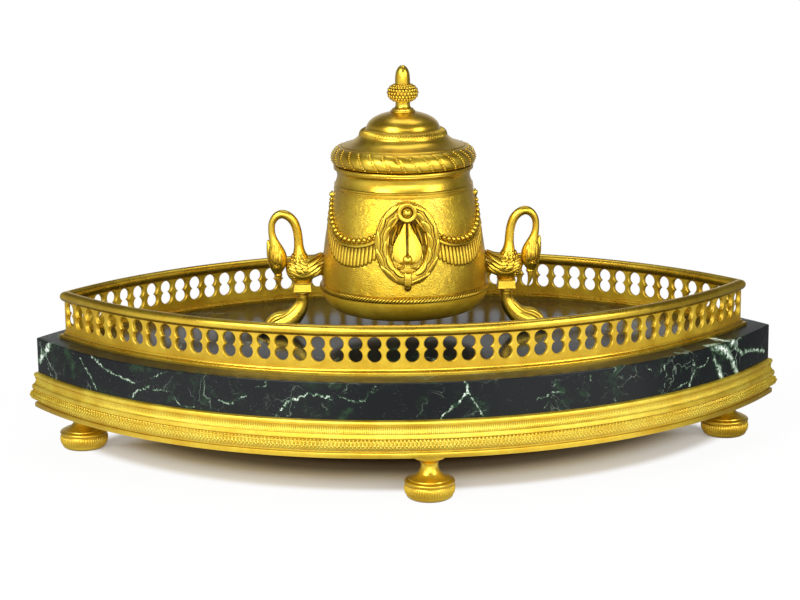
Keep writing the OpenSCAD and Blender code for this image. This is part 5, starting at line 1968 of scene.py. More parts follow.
@dataclass
class Lid:
    """The lid: ogee and dome, a ridged ring, a rim of spiral gadroons and the acorn."""

    z: float = 138.9
    rim_h: float = 6.8
    rim_seat_r: float = 30.0
    ring_z: float = 13.5
    ring_h: float = 3.9
    ring_r: float = 21.3
    dome_r: float = 17.6
    dome_h: float = 8.0
    seat_r: float = 6.2
    wall: float = 1.6
    gadroons: int = 32
    ridges: int = 96
    scales: int = 26
    scale_rows: int = 7
    # (radius, height) above the seat of the rim, and of the acorn's cup and nut above its own seat
    bolster: Rows = (
        (32.6, 0.05), (34.0, 0.8), (34.7, 2.2), (34.8, 3.9), (34.3, 5.6), (33.2, 7.1), (31.8, 8.2),
        (30.5, 8.8), (29.8, 8.75), (29.5, 8.3),
    )
    cup: Rows = (
        (3.75, 5.3), (4.7, 5.9), (6.0, 6.8), (6.85, 8.0), (7.1, 9.3), (6.85, 10.6), (6.05, 11.8), (4.9, 12.6),
        (3.9, 12.95),
    )
    nut: Rows = (
        (3.6, 13.1), (3.65, 14.2), (3.6, 16.0), (3.45, 17.8), (3.1, 19.5), (2.45, 20.9), (1.65, 21.8),
        (0.85, 22.35),
        (0, 22.5),
    )

    def build(self, shop: Workshop) -> None:
        """Builds and dresses the lid.

        Args:
            shop: The shared repeats and finishes.
        """
        self._shell(shop)
        self._rim(shop)
        self._finial(shop)

    def _shell(self, shop: Workshop) -> None:
        """The turned shell with its ridged ring.

        Args:
            shop: The shared repeats and finishes.
        """
        s, dome, ring = self.rim_seat_r - 0.05, self.ring_z + self.ring_h, self.ring_z
        flat = math.degrees(math.acos(self.seat_r / self.dome_r))
        crown = dome + self.dome_h * math.sin(math.radians(flat))
        rx, rz = self.ring_r - self.dome_r - 0.65, self.ring_h - 1.1
        ogee = [(29.3, 9.3), (28.0, 9.7), (26.4, 10.25), (24.8, 10.95), (23.4, 11.8), (22.4, 12.65)]
        shell = outline(
            [(s - 2, 0), (s, 0), (s - 0.1, 1.0), (29.6, 7.3), (29.7, 8.3), (29.6, 9.0)],
            smoothed([*ogee, (self.ring_r + 0.45, ring - 0.1)], 4),
            [(self.ring_r, ring + 0.1)],
            arc(self.dome_r + 0.4, ring + 0.6, rx, rz, 0, 82, 8),
            arc(0, dome, self.dome_r, self.dome_h, 3, flat, 14),
            [(3.0, crown), (3.0, crown - self.wall)],
            arc(0, dome - self.wall, self.dome_r - self.wall, self.dome_h - self.wall * 0.6, 76, 4, 8),
            [(self.ring_r - self.wall - 0.6, ring - self.wall * 0.6)],
            near(s, self.rim_h, (-8.0, 1.6), (-3.2, -0.8), (-2, -2.2)),
        )
        body = shop.cast(lathe(shell + (0, self.z), 160, True), "lid_shell", "gilt_lid", 34)
        width = math.tau / self.ridges
        a = np.radians(np.linspace(0, 82, 6))
        across = np.array([-0.5, -0.38, -0.15, 0.1, 0.35, 0.5])[:, None]
        lift = 0.62 * np.cos(across * math.pi) - 0.28
        angle = across * width + 0.8 * width * np.linspace(-1, 1, 6)
        reach = self.dome_r + 0.4 + (rx + lift) * np.cos(a)
        height = self.z + ring + 0.6 + (rz + lift) * np.sin(a)
        # Painted shade between the ridges.
        unit = sheet(polar(reach, angle, height), np.array([1, 0.9, 0, 0, 0.3, 1.0])[:, None])
        made = merged("lid", [body, shop.round_about(unit, "lid_ridges", "gilt", self.ridges, 60)])
        shop.fit(made, "lid", body=LID_BODY)

    def _rim(self, shop: Workshop) -> None:
        """The rim: a sloping bolster with slanting gadroons between lines of beads.

        Args:
            shop: The shared repeats and finishes.
        """
        bolster = smoothed(self.bolster, 4) + (0, self.z)
        core = outline([(self.rim_seat_r - 0.1, self.z + 0.03)], bolster, [(29.2, self.z + 7.3)])
        body = shop.cast(lathe(core, 160, True), "rim_core", "gilt", 60)
        step = np.gradient(bolster, axis=0)
        normal = np.column_stack([step[:, 1], -step[:, 0]]) / np.linalg.norm(step, axis=1)[:, None]
        length = run_length(bolster)
        length /= length[-1]
        width = math.tau / self.gadroons

        def section(share: Points, rise: Points) -> tuple[Points, Points]:
            """Radius and height at a share of the section, lifted off it."""
            r, z, nr, nz = (np.interp(0.06 + 0.88 * share, length, row) for row in (*bolster.T, *normal.T))
            return r + nr * rise, z + nz * rise

        share = np.linspace(0, 1, 17)
        across = np.array([-0.5, -0.39, -0.33, -0.2, 0.0, 0.2, 0.36, 0.42, 0.5])[:, None]
        lift = np.array([-0.12, -0.12, 0.03, 0.07, 0.09, 0.07, 0.03, -0.12, -0.12])[:, None]
        fade = np.clip(np.minimum(share * 12 + 0.2, (0.92 - share) * 8), 0, 1)
        angle = across * width - 1.1 * width * (share - 0.5)
        reach, height = section(share, 0.03 + lift * fade)
        # Painted shade in the grooves along the lines of beads.
        dirt_and_shade = np.array([1, 1, 0.25, 0, 0, 0, 0.25, 1, 1])[:, None] * fade
        unit = sheet(polar(reach, angle, height), dirt_and_shade)
        flutes = shop.round_about(unit, "rim_gadroons", "gilt", self.gadroons, 60)
        dots = []
        for spot in np.linspace(0.08, 0.84, 9):
            (r, z), turn = section(spot, -0.05), width * (0.5 - 1.1 * (spot - 0.5))
            dots.append(place(ball(0.48, 5, 8), polar(r, turn, z)))
        beads = shop.round_about(joined(dots), "rim_beads", "gilt_bright", self.gadroons, 80)
        shop.fit(merged("lid_rim", [body, flutes, beads]), "lid_rim", body=LID_BODY)

    def _finial(self, shop: Workshop) -> None:
        """The acorn: stepped disc, turned stem, a cup under a lattice of beads and a smooth nut.

        Args:
            shop: The shared repeats and finishes.
        """
        flat = math.acos(self.seat_r / self.dome_r)
        seat = self.z + self.ring_z + self.ring_h + self.dome_h * math.sin(flat)
        cup = smoothed(self.cup, 4)
        fullest = max(r for r, _ in self.cup)
        stem = outline(
            [(0, 0), (5.8, 0)],
            arc(5.7, 0.5, 0.35, 0.42, -60, 80, 5),
            [(5.3, 1.0), (5.2, 1.6), (4.9, 1.85), (4.3, 1.9)],
            smoothed([(4.2, 2.0), (3.7, 2.7), (3.5, 3.7), (3.55, 4.7)], 3),
            cup,
            [(3.6, 13.0)],
            smoothed(self.nut, 4),
        )
        # Painted shade on the cup under its lattice of beads.
        core = lathe(stem + (0, seat), 64).with_painted_shade(
            lambda p: 0.75 * ((p[:, 2] > seat + 5.4) & (p[:, 2] < seat + 12.9))
        )
        parts = [shop.cast(core, "acorn_core", "gilt_bright", 40)]
        length = run_length(cup)
        for k in range(self.scale_rows):
            spot = (k + 0.6) / self.scale_rows * length[-1]
            r, height = (float(np.interp(spot, length, row)) for row in cup.T)
            size = r / fullest * 0.45 + 0.55
            unit = place(ball(0.8, 5, 8), (0, -r, seat + height), None, (size, 0.75, size))
            start = k * math.pi / self.scales
            parts.append(shop.round_about(unit, "acorn_scales", "gilt", self.scales, 80, start))
        stud = lathe(outline([(0, -4.6), (1.35, -4.6), (1.5, -4.4), (1.5, 0.2), (0, 0.2)]) + (0, seat), 24)
        parts.append(shop.cast(stud, "acorn_stud", "gilt", 40))
        shop.fit(merged("finial", parts), "finial", body=LID_BODY)


# ---------------------------------------------------------------- swans and legs


def mirrored(made: bpy.types.Object, name: str) -> bpy.types.Object:
    """A copy of an object on the other side of the YZ plane.

    Args:
        made: The object.
        name: The copy's name.

    Returns:
        The copy.
    """
    mesh = made.data.copy()
    mesh.name = name
    mesh.transform(Matrix.Diagonal((-1, 1, 1, 1)))
    mesh.flip_normals()
    return linked(name, mesh)


def square_loft(levels: Sequence[tuple[float, float]], corner: float) -> Piece:
    """A square block whose half width changes with height.

    Args:
        levels: (half width, height) from the bottom up.
        corner: The radius of its upright corners.

    Returns:
        The closed block.
    """
    rows = []
    for half, z in levels:
        for quarter in np.arange(4) * math.pi / 2:
            middle = (half - corner) * np.sign([math.cos(quarter + 0.7), math.sin(quarter + 0.7)])
            for a in np.radians(np.linspace(0, 90, 5)) + quarter:
                rows.append((middle[0] + corner * math.cos(a), middle[1] + corner * math.sin(a), z))
    return Piece(np.array(rows), tube_faces(len(levels), len(rows) // len(levels)))


@dataclass
class Swan:
    """A swan that stands on a block and holds the pot, and the clawed leg under the block."""

    block_x: float = 49.8
    swan_z: float = 81.2
    block_z: float = 75.9
    floor_z: float = 55.5
    block_half: float = 4.5
    sides: int = 20
    # x, height of the middle, half height and half width along the body
    body: Rows = (
        (8.1, 6.7, 0.3, 0.3), (7.9, 6.7, 1.5, 1.3), (7.3, 6.5, 3.1, 2.6), (6.0, 6.2, 4.7, 4.0),
        (3.8, 5.9, 5.7, 4.9), (1.0, 6.0, 6.1, 5.3), (-2.0, 6.5, 6.1, 5.2), (-5.0, 7.3, 5.8, 4.8),
        (-8.0, 8.1, 5.3, 4.4), (-10.8, 8.8, 4.9, 4.1),
    )
    # x, z and the radii in the plane and across it, along the neck
    neck: Rows = (
        (0.2, 5.5, 5.6, 4.4), (0.7, 10.4, 4.9, 4.4), (1.2, 14.2, 3.2, 3.1), (1.45, 17.6, 2.4, 2.35),
        (1.6, 21.0, 2.2, 2.15), (2.15, 25.4, 2.15, 2.1), (3.6, 29.6, 2.2, 2.1), (6.1, 32.4, 2.2, 2.1),
        (9.3, 33.6, 2.15, 2.05), (12.2, 32.4, 1.95, 1.9), (14.1, 29.5, 1.7, 1.7), (14.5, 26.3, 1.65, 1.65),
        (14.3, 23.6, 1.75, 1.75), (13.8, 21.2, 2.1, 2.0), (13.2, 19.0, 2.7, 2.4), (12.7, 16.9, 3.5, 2.9),
        (12.25, 14.6, 4.3, 3.5), (12.0, 12.2, 4.75, 3.8), (11.95, 9.8, 4.6, 3.7), (12.0, 7.6, 3.9, 3.2),
        (12.0, 5.8, 2.9, 2.4), (11.9, 4.6, 2.1, 1.9), (11.8, 4.0, 1.75, 1.6), (11.8, 3.7, 1.1, 1.0),
    )
    beak: Rows = (
        (11.8, 4.3, 0.6, 0.6), (11.8, 4.1, 1.8, 1.75), (11.75, 3.7, 2.0, 1.9), (11.7, 3.1, 1.95, 1.85),
        (11.7, 2.9, 1.45, 1.4), (11.75, 2.5, 1.4, 1.4), (11.8, 1.2, 1.3, 1.3), (11.7, -0.2, 1.1, 1.15),
        (11.35, -1.6, 0.85, 0.9), (10.9, -3.1, 0.6, 0.65), (10.4, -4.3, 0.35, 0.4), (10.1, -4.9, 0.1, 0.15),
    )
    leg: Rows = (
        (0.05, 19.2, 3.0, 3.0), (0.0, 17.6, 2.95, 2.95), (-0.05, 16.0, 2.95, 2.9), (0.9, 13.1, 3.4, 3.2),
        (3.1, 9.8, 4.0, 3.7), (6.6, 6.6, 4.7, 4.3), (11.0, 4.6, 4.9, 4.7), (15.0, 3.4, 3.8, 4.6),
        (18.6, 2.2, 2.6, 4.0), (20.6, 1.5, 1.6, 3.0), (21.4, 1.2, 0.6, 1.4),
    )
    # x, height of the middle, and the radii along the comb on the back of the head
    crest: Rows = (
        (15.2, 9.0, 0.9, 1.8), (15.5, 11.5, 1.3, 2.1), (15.8, 14.2, 1.35, 1.9), (16.0, 17.0, 1.15, 1.4),
        (16.2, 19.3, 0.85, 0.9), (16.35, 20.6, 0.5, 0.5), (16.4, 21.1, 0.05, 0.1),
    )
    # each wing feather's root and tip as x and degrees round the body, its sag, width and lift
    feathers: tuple = (
        ((6.2, 50), (-10.4, 30), 26, 4.4, 1.0),
        ((6.0, 68), (-10.8, 52), 30, 4.4, 1.15),
        ((5.2, 86), (-10.8, 74), 30, 4.4, 1.25),
        ((3.6, 104), (-10.2, 94), 26, 4.0, 1.2),
        ((1.4, 122), (-8.6, 112), 16, 3.6, 1.0),
        ((3.6, 30), (-9.6, 12), 16, 3.6, 0.8),
    )
    body_r: float = 5.4
    seat_squash: float = 0.88

    def build(self, shop: Workshop) -> None:
        """Builds and dresses both swans and both legs.

        Args:
            shop: The shared repeats and finishes.
        """
        for kind, made in (("swan", self._bird(shop)), ("leg", self._leg(shop))):
            shop.fit(mirrored(made, kind), kind + "_left")
            shop.fit(made, kind + "_right")

    def _swept(
        self, rows: Sequence[Sequence[float]], base: tuple[float, float], steps: int, sides: int
    ) -> Piece:
        """A smooth tube through rows that start from a base point.

        Args:
            rows: x, z and the radii in the plane and across it.
            base: The x and z that the rows start from.
            steps: How many pieces each span is cut into.
            sides: How many sides the tube has.

        Returns:
            The tube.
        """
        p = smoothed(rows, steps)
        return tube(grid_of(p[:, 0] + base[0], 0.0, p[:, 1] + base[1]), np.maximum(p[:, 2:4], 0.02), sides)

    def _skin(self, x: float | Points, angle: float | Points, off: float | Points = 0.0) -> Points:
        """A point on the body.

        Args:
            x: Along the body.
            angle: Round it, 0 on its back and 90 degrees on its front side, in radians.
            off: How far off the skin.

        Returns:
            The point.
        """
        rows = np.array(self.body)[::-1]
        zc, rz, ry = (np.interp(x, rows[:, 0], rows[:, k]) for k in (1, 2, 3))
        y, z = -(ry + off) * np.sin(angle), zc + (rz + off) * np.cos(angle)
        return grid_of(x + self.block_x, y, z + self.swan_z)

    def _frame(self, x: float, angle: float, heading: float, off: float = 0.0) -> tuple[Points, Turn]:
        """Where a feather roots on the body and how it is turned.

        Args:
            x: Along the body.
            angle: Round the body, in radians from its back.
            heading: 0 points towards the pot, 90 degrees downwards.
            off: How far off the skin.

        Returns:
            The point and the Euler angles.
        """
        here = self._skin(x, angle, off)
        along = self._skin(x - 0.4, angle, off) - here
        down = self._skin(x, angle + 0.08, off) - here
        along, down = along / np.linalg.norm(along), down / np.linalg.norm(down)
        out = np.cross(along, down)
        return here, basis(along * math.cos(heading) + down * math.sin(heading), out)

    def _feather(
        self, start: tuple[float, float], end: tuple[float, float], dip: float, width: float, lift: float
    ) -> Piece:
        """One long wing feather on the front side.

        Args:
            start: Its root: x and the angle round the body in degrees.
            end: Its tip.
            dip: How far it sags between, in degrees.
            width: Its width.
            lift: How far its lower edge stands off.

        Returns:
            The feather.
        """
        t = np.linspace(0, 1, 14)[:, None]
        x = start[0] + (end[0] - start[0]) * t
        middle = np.radians(start[1] + (end[1] - start[1]) * t + dip * np.sin(t * math.pi))
        wide = width * np.minimum(1, (1 - t) ** 0.6 * 1.6) * (0.75 + 0.25 * t)
        across = np.array([-0.5, -0.38, -0.1, 0.05, 0.3, 0.46, 0.5])
        rise = np.array([-0.6, -0.05, 0.4, 0.75, 1.0, 0.85, -0.6])
        grid = self._skin(x, middle + across * wide / self.body_r, rise * lift * (0.55 + 0.6 * t))
        # Painted shade along the feather's edges.
        return sheet(grid[:, ::-1], np.array([1.0, 0.5, 0.0, 0.0, 0.0, 0.3, 1.0])[::-1])

    def _bird(self, shop: Workshop) -> bpy.types.Object:
        """The right-hand swan.

        Args:
            shop: The shared repeats and finishes.

        Returns:
            The swan as one object.
        """
        base, at = (self.block_x, self.swan_z), (self.block_x, 0, self.swan_z)
        around = 28
        a = np.linspace(0, math.tau, around, endpoint=False)
        x, z, high, wide = smoothed(self.body, 3).T[:, :, None]
        grid = grid_of(x, -wide * np.sin(a), z + high * np.cos(a))
        trunk = place(Piece(grid.reshape(-1, 3), tube_faces(len(grid), around)), at)
        seat = [(0, 0), (4.25, 0), (4.35, 0.5), (4.55, 1.4), (4.8, 2.6), (4.6, 4.0), (0, 5.0)]
        seat = place(lathe(outline(seat), 40), at, None, (1.0, self.seat_squash, 1.0))
        parts = [
            shop.cast(trunk, "trunk", "gilt", 70),
            shop.cast(self._swept(self.neck, base, 4, self.sides), "neck", "gilt_smooth", 70),
            shop.cast(self._swept(self.beak, base, 2, 14), "beak", "gilt_smooth", 50),
            shop.cast(seat, "seat", "gilt", 50),
        ]
        skirt = []
        for k in range(14):
            for z, out, size, shift in ((3.0, 4.75, 0.8, 0.0), (4.6, 5.2, 1.0, 0.5)):
                a = (k + shift) * math.tau / 14
                away = np.array([math.sin(a), -math.cos(a) * self.seat_squash, 0.0])
                turn = basis(away * -0.30 + (0, 0, -1), away)
                skirt.append((away * out + at + (0, 0, z), turn, (size, 1.0, size)))
        parts.append(shop.along(leaf(3.9, 2.5, 0.6, 0.55, 0.1), "skirt", "gilt_bright", skirt, 50))
        ruff = []
        rows = ((14.0, 3.25, 1.2, 12, 0.0, 0.85), (12.4, 4.0, 1.0, 14, 0.5, 1.0))
        for z, out, middle, count, shift, size in rows:
            for k in range(count):
                a = (k + shift) * math.tau / count
                away = np.array([math.sin(a), -math.cos(a), 0.0])
                spot = away * out * (1.0, 0.95, 1.0) + at + (middle, 0, z)
                ruff.append((spot, basis(away * 0.45 + (0, 0, -1), away + (0, 0, 0.45)), (size, 1.0, size)))
        parts.append(shop.along(leaf(2.6, 1.9, 0.4, 0.4, 0.1), "ruff", "gilt_smooth", ruff, 50))
        feathers = [self._feather(*row) for row in self.feathers]
        wings = joined(feathers + [flipped(f, (1, -1, 1)) for f in feathers])
        parts += [shop.cast(wings, "wings", "gilt", 45, True), self._plumage(shop), *self._head(shop)]
        return merged("swan_right", parts)

    def _plumage(self, shop: Workshop) -> bpy.types.Object:
        """Short feathers on the shoulders and scales on the breast.

        Args:
            shop: The shared repeats and finishes.

        Returns:
            The feathers as one object.
        """
        spots = []
        scales = ((7.4, 4, 0.8, 0.0), (6.7, 6, 0.9, 0.5), (5.8, 7, 1.0, 0.0), (4.7, 7, 1.05, 0.5))
        shoulder = (
            (3.6, 40, 0.5), (3.9, 58, 0.5), (3.4, 76, 0.45), (1.0, 44, 0.4), (1.2, 62, 0.4), (0.6, 80, 0.35)
        )
        for side in (1, -1):
            for x, count, size, shift in scales:
                for k in range(count):
                    angle = math.radians(28 + (k + shift) * 118 / count)
                    here, turn = self._frame(x, side * angle, side * 0.25)
                    spots.append((here, turn, (size, size, size)))
            for x, angle, heading in shoulder:
                here, turn = self._frame(x, side * math.radians(angle), heading * side, 0.45)
                spots.append((here, turn, (1.75, 1.3, 1.75)))
        return shop.along(leaf(2.5, 1.9, 0.5, 0.55, 0.12), "plumage", "gilt", spots, 50)

    def _head(self, shop: Workshop) -> list[bpy.types.Object]:
        """Eyes, brows and the pointed tufts round the head.

        Args:
            shop: The shared repeats and finishes.

        Returns:
            The parts of the head.
        """
        x0, z0 = self.block_x, self.swan_z
        length, width = 8.0, 3.0
        tufts = []

        def tuft(root: Sequence[float], tip: Sequence[float], out: Sequence[float], wide: float) -> None:
            """Adds a tuft from its root to its tip.

            Args:
                root: Where it grows.
                tip: Where it ends.
                out: Where its back faces.
                wide: Its width.
            """
            along = np.subtract(tip, root)
            size = (wide / width, 1.0, float(np.linalg.norm(along)) / length)
            tufts.append((np.add(root, (x0, 0, z0)), basis(along, out), size))

        tuft((16.0, 0, 11.0), (16.2, 0, 18.6), (-1, 0, 0.1), 4.0)
        for side in (-1, 1):
            tuft((15.6, side * 2.0, 10.0), (15.5, side * 1.9, 18.2), (0.8, side * 0.7, 0.1), 3.3)
            tuft((14.1, side * 3.2, 10.2), (13.8, side * 2.5, 19.2), (0.2, side, 0.1), 3.3)
            tuft((11.6, side * 3.5, 11.0), (12.6, side * 2.5, 20.4), (-0.1, side, 0.1), 3.1)
            tuft((9.4, side * 3.0, 10.6), (11.0, side * 2.2, 18.6), (-0.6, side, 0.1), 3.1)
            tuft((7.9, side * 1.4, 10.0), (9.8, side * 1.0, 17.0), (-1, side * 0.4, 0.1), 2.8)
            tuft((13.0, side * 3.6, 9.4), (12.6, side * 3.5, 15.6), (0, side, 0.1), 2.6)
            tuft((10.4, side * 3.4, 8.6), (10.1, side * 3.3, 14.8), (-0.4, side, 0.1), 2.8)
        parts = [
            shop.along(leaf(length, width, 0.5, 0.35, 0.3), "tufts", "gilt", tufts, 45),
            shop.cast(self._swept(self.crest, (x0, z0), 3, 14), "crest", "gilt", 50),
        ]
        a = np.radians(np.linspace(-20, 200, 12))
        x, y, z = x0 + 12.5, 3.3, z0 + 8.0
        for side in (-1, 1):
            parts.append(shop.cast(place(ball(0.72, 8, 12), (x, side * y, z)), "eye", "gilt_bright", 80))
            brow = grid_of(x + 1.3 * np.cos(a), side * (y - 0.12 * np.abs(np.cos(a))), z + 1.2 * np.sin(a))
            parts.append(shop.cast(tube(brow, np.full((len(a), 2), 0.28), 8), "brow", "gilt", 60))
        return parts

    def _leg(self, shop: Workshop) -> bpy.types.Object:
        """The right-hand block and leg.

        Args:
            shop: The shared repeats and finishes.

        Returns:
            The block and leg as one object.
        """
        half, z, x = self.block_half, self.block_z, self.block_x
        hollow = [(half - 0.05 - 0.35 * t, z + 1.2 + 3.3 * t) for t in np.linspace(0, 1, 9)]
        foot = near(half, z, (-0.35, 0.5), (-0.05, 0.68), (0, 0.9))
        levels = outline(foot, hollow, near(half, z, (-0.1, 4.75), (-0.1, 5.1), (-0.3, 5.3)))
        collar = outline(
            [(0, 73.2), (2.9, 73.2)],
            arc(2.6, 74.0, 0.4, 0.5, -90, 70, 6),
            [(2.6, 74.75), (2.75, 75.1)],
            arc(2.9, 75.75, 0.6, 0.55, -70, 80, 6),
            [(2.9, 76.45), (0, 76.6)],
        )
        shank = self._swept(self.leg, (x, self.floor_z), 4, 22).moved(self._grounded)
        parts = [
            shop.cast(place(square_loft(levels, 0.35), (x, 0, 0)), "block", "gilt_smooth", 38),
            shop.cast(place(lathe(collar, 36), (x, 0, 0)), "collar", "gilt", 50),
            shop.cast(shank, "shank", "gilt_bright", 60),
        ]
        locks = []
        rows = ((0.0, 0.0, 1.0), (1.5, -0.35, 0.95), (-1.5, -0.35, 0.95), (2.9, -1.5, 0.8), (-2.9, -1.5, 0.8))
        for y, low, tone in rows:
            path = smoothed([
                (1.5, 0, 17.8), (3.4, y * 0.6, 14.6), (6.3, y * 0.9, 11.6), (9.2, y, 10.1),
                (12.4, y * 1.05, 9.7 + low * 0.4), (15.6, y * 1.05, 8.0 + low * 0.7),
                (17.6, y * 1.0, 5.6 + low * 0.4), (18.3, y * 0.95, 4.0),
            ], 4)
            share = np.linspace(0, 1, len(path))
            path[:, 2] += low * np.linspace(0.2, 0.8, len(path))
            path[:, 1] += 0.25 * np.sin(np.linspace(0, 13, len(path)) + y)
            r = np.interp(share, [0, 0.15, 0.6, 0.85, 1], [0.35, 0.95, 1.25, 1.1, 0.45]) * tone
            locks.append(tube(path + (x, 0, self.floor_z), np.column_stack([r, r]), 10))
        parts.append(shop.cast(joined(locks), "locks", "gilt", 60))
        toe = smoothed([
            (15.0, 0, 2.6, 1.9), (18.0, 0, 2.6, 1.7), (20.0, 0, 2.1, 1.35), (21.4, 0, 1.35, 0.95),
            (22.4, 0, 0.75, 0.5),
            (22.9, 0, 0.35, 0.12),
        ], 3)
        root, reach = toe[0, 0], toe[:, 0] - toe[0, 0]
        toes = []
        for y, turn in ((0.0, 0.0), (2.5, 0.22), (-2.5, -0.22)):
            spine = grid_of(root + reach * math.cos(turn), y * 0.8 + reach * math.sin(turn), toe[:, 2])
            toes.append(tube(spine + (x, 0, self.floor_z), np.maximum(toe[:, 3:], 0.05) * (0.95, 1.0), 12))
        parts.append(shop.cast(joined(toes).moved(self._grounded), "toes", "gilt", 60))
        return merged("leg_right", parts)

    def _grounded(self, p: Points) -> Points:
        """The points, none of them below the marble."""
        return np.maximum(p, (-np.inf, -np.inf, self.floor_z))


# ---------------------------------------------------------------- wreath handles and hinge


@dataclass
class Handles:
    """The two laurel wreaths that swing on the pot, with their bosses."""

    pivot_y: float = -36.43
    pivot_z: float = 124.9
    lean: float = 3.55
    plane_y: float = -3.05
    middle_z: float = -18.15
    half_w: float = 12.4
    half_h: float = 16.9
    band: float = 6.1
    thick: float = 2.8
    stations: int = 6
    boss_z: float = -3.2
    boss_r: float = 4.6

    def build(self, shop: Workshop) -> None:
        """Builds and dresses both handles.

        Args:
            shop: The shared repeats and finishes.
        """
        tilt = Matrix.Rotation(math.radians(-self.lean), 4, "X")
        hang = Matrix.Translation(Vector((0, self.pivot_y, self.pivot_z)) * MM) @ tilt
        for side, body, turn in (("front", FRONT_HANDLE, 0.0), ("back", BACK_HANDLE, math.pi)):
            settle = Matrix.Rotation(turn, 4, "Z") @ hang
            for kind, made in (("wreath", self._wreath(shop)), ("boss", self._boss(shop))):
                made.data.transform(settle)
                shop.fit(made, f"{kind}_{side}", body=body)

    def _ring(self, u: float | Points, across: float | Points, off: float | Points) -> Points:
        """A point on the wreath.

        Args:
            u: The angle round the oval, 0 at its right end.
            across: From the middle of the band outwards.
            off: Towards the front.

        Returns:
            The point in the handle's own frame.
        """
        n = np.stack([np.cos(u) * self.half_h, np.sin(u) * self.half_w], -1)
        n = n / np.linalg.norm(n, axis=-1, keepdims=True)
        x = self.half_w * np.cos(u) + n[..., 0] * across
        z = self.middle_z + self.half_h * np.sin(u) + n[..., 1] * across
        return grid_of(x, self.plane_y - off, z)

    def _wreath(self, shop: Workshop) -> bpy.types.Object:
        """One wreath: oval ring, laurel leaves, tie and lugs.

        Args:
            shop: The shared repeats and finishes.

        Returns:
            The wreath in the handle's own frame.
        """
        u, v = (np.linspace(0, math.tau, n, endpoint=False) for n in (96, 20))
        grid = self._ring(u[:, None], 3.0 * np.cos(v), 0.95 * np.sin(v))
        ring = Piece(grid.reshape(-1, 3), grid_faces(len(u), len(v), True, True))
        # An even painted shade over the ring, under its leaves.
        parts = [shop.cast(ring.with_painted_shade(lambda p: 0.35 + 0 * p[:, 0]), "ring", "gilt", 70)]
        parts += [self._laurel(shop, hand, face) for hand in (1, -1) for face in (1, -1)]
        low = self.middle_z - self.half_h
        a = np.linspace(0, math.tau, 24, endpoint=False)[:, None]
        wide = np.array([-1.75, -1.7, -1.45, -0.8, 0.0, 0.8, 1.45, 1.7, 1.75])
        fat = np.array([-0.5, 0.05, 0.3, 0.42, 0.42, 0.42, 0.3, 0.05, -0.5])
        squareness = 0.6
        c, s = (np.sign(f(a)) * np.abs(f(a)) ** squareness for f in (np.cos, np.sin))
        tie = grid_of(wide, self.plane_y - (1.35 + fat) * s, low + (3.35 + fat) * c)
        # Painted shade along the tie's sides.
        dirt_and_shade = np.tile(np.array([1.0, 0.7, 0.1, 0, 0, 0, 0.1, 0.7, 1.0]), len(a))
        tie = Piece(tie.reshape(-1, 3), grid_faces(len(a), len(wide), True, False), None, dirt_and_shade)
        parts.append(shop.cast(tie, "tie", "gilt_bright", 60))
        hanging = Matrix.Rotation(math.pi, 3, "Y")
        drop = place(leaf(3.0, 3.4, 0.8, 0.25), (0, self.plane_y + 0.2, low - 2.9), hanging)
        back = place(flipped(place(drop, (0, -self.plane_y, 0)), (1, -1, 1)), (0, self.plane_y, 0))
        # The knot is painted in shade all over.
        knot = joined([drop, back]).with_painted_shade(lambda p: 0.8 + 0 * p[:, 0])
        parts.append(shop.cast(knot, "knot", "gilt", 50, True))
        lug = lathe(outline([(0, -1.1), (1.35, -1.1), (1.5, -0.95), (1.5, 0.95), (1.35, 1.1), (0, 1.1)]), 24)
        arm = square_loft([(1.0, 0.0), (1.1, 0.2), (1.1, 3.0), (1.0, 3.2)], 0.3)
        lying, facing = Matrix.Rotation(math.pi / 2, 3, "Y"), Matrix.Rotation(-math.pi / 2, 3, "X")
        for x in (-3.3, 3.3):
            parts.append(shop.cast(place(lug, (x, 0, 0), lying), "lug", "gilt", 40))
            reached = place(arm, (x, self.plane_y + 0.2, 0), facing, (1, 1.2, 1))
            parts.append(shop.cast(reached, "arm", "gilt", 40))
        return merged("wreath", parts)

    def _laurel(self, shop: Workshop, hand: int, face: int) -> bpy.types.Object:
        """The laurel leaves of one side and one face, laid flat in a row and then bent round the ring.

        Args:
            shop: The shared repeats and finishes.
            hand: 1 for the right side, -1 for the left.
            face: 1 for the front, -1 for the back.

        Returns:
            The leaves.
        """
        angle = np.linspace(-math.pi / 2, math.pi / 2, 181)
        curve = self._ring(hand * (angle + math.pi / 2) - math.pi / 2, 0.0, 0.0)
        length = run_length(curve)
        pitch = (length[-1] - 1.0) / self.stations
        spots = []
        for k in range(self.stations):
            for hand_x, ahead in ((1, 0.0), (-1, 0.5 * pitch)):
                start = 0.8 + k * pitch + ahead
                spots.append(((hand_x * 1.35, 0.0, start), (0, hand_x * 0.05, 0), (0.97, 1.0, pitch / 6.6)))
        t, high = np.linspace(0, 1, 9), 8.4
        wide = 3.3 * np.sin(np.clip(t * 0.86 + 0.12, 0, 1) * math.pi) ** 0.6
        rows = np.column_stack([0.2 * np.sin(t * math.pi), t * high, np.maximum(wide, 0.25)])
        unit = frond(rows, 0.5, 0.3)
        unit.points[:, 1] += 0.22 - 0.3 * unit.points[:, 2] / high
        made = shop.along(unit, "laurel", "gilt_bright", spots, 60)

        def bend(p: Points) -> Points:
            """Lays the row on the ring.

            Args:
                p: The row's points.

            Returns:
                The points on the ring.
            """
            u = np.interp(p[:, 2], length, hand * (angle + math.pi / 2)) - math.pi / 2
            v, lift = np.clip(hand * face * p[:, 0] / 2.15, -1.35, 1.35), -p[:, 1]
            return self._ring(u, (3.0 + lift * 0.6) * np.sin(v), face * (1.05 + lift) * np.cos(v))

        return reshape(made, bend)

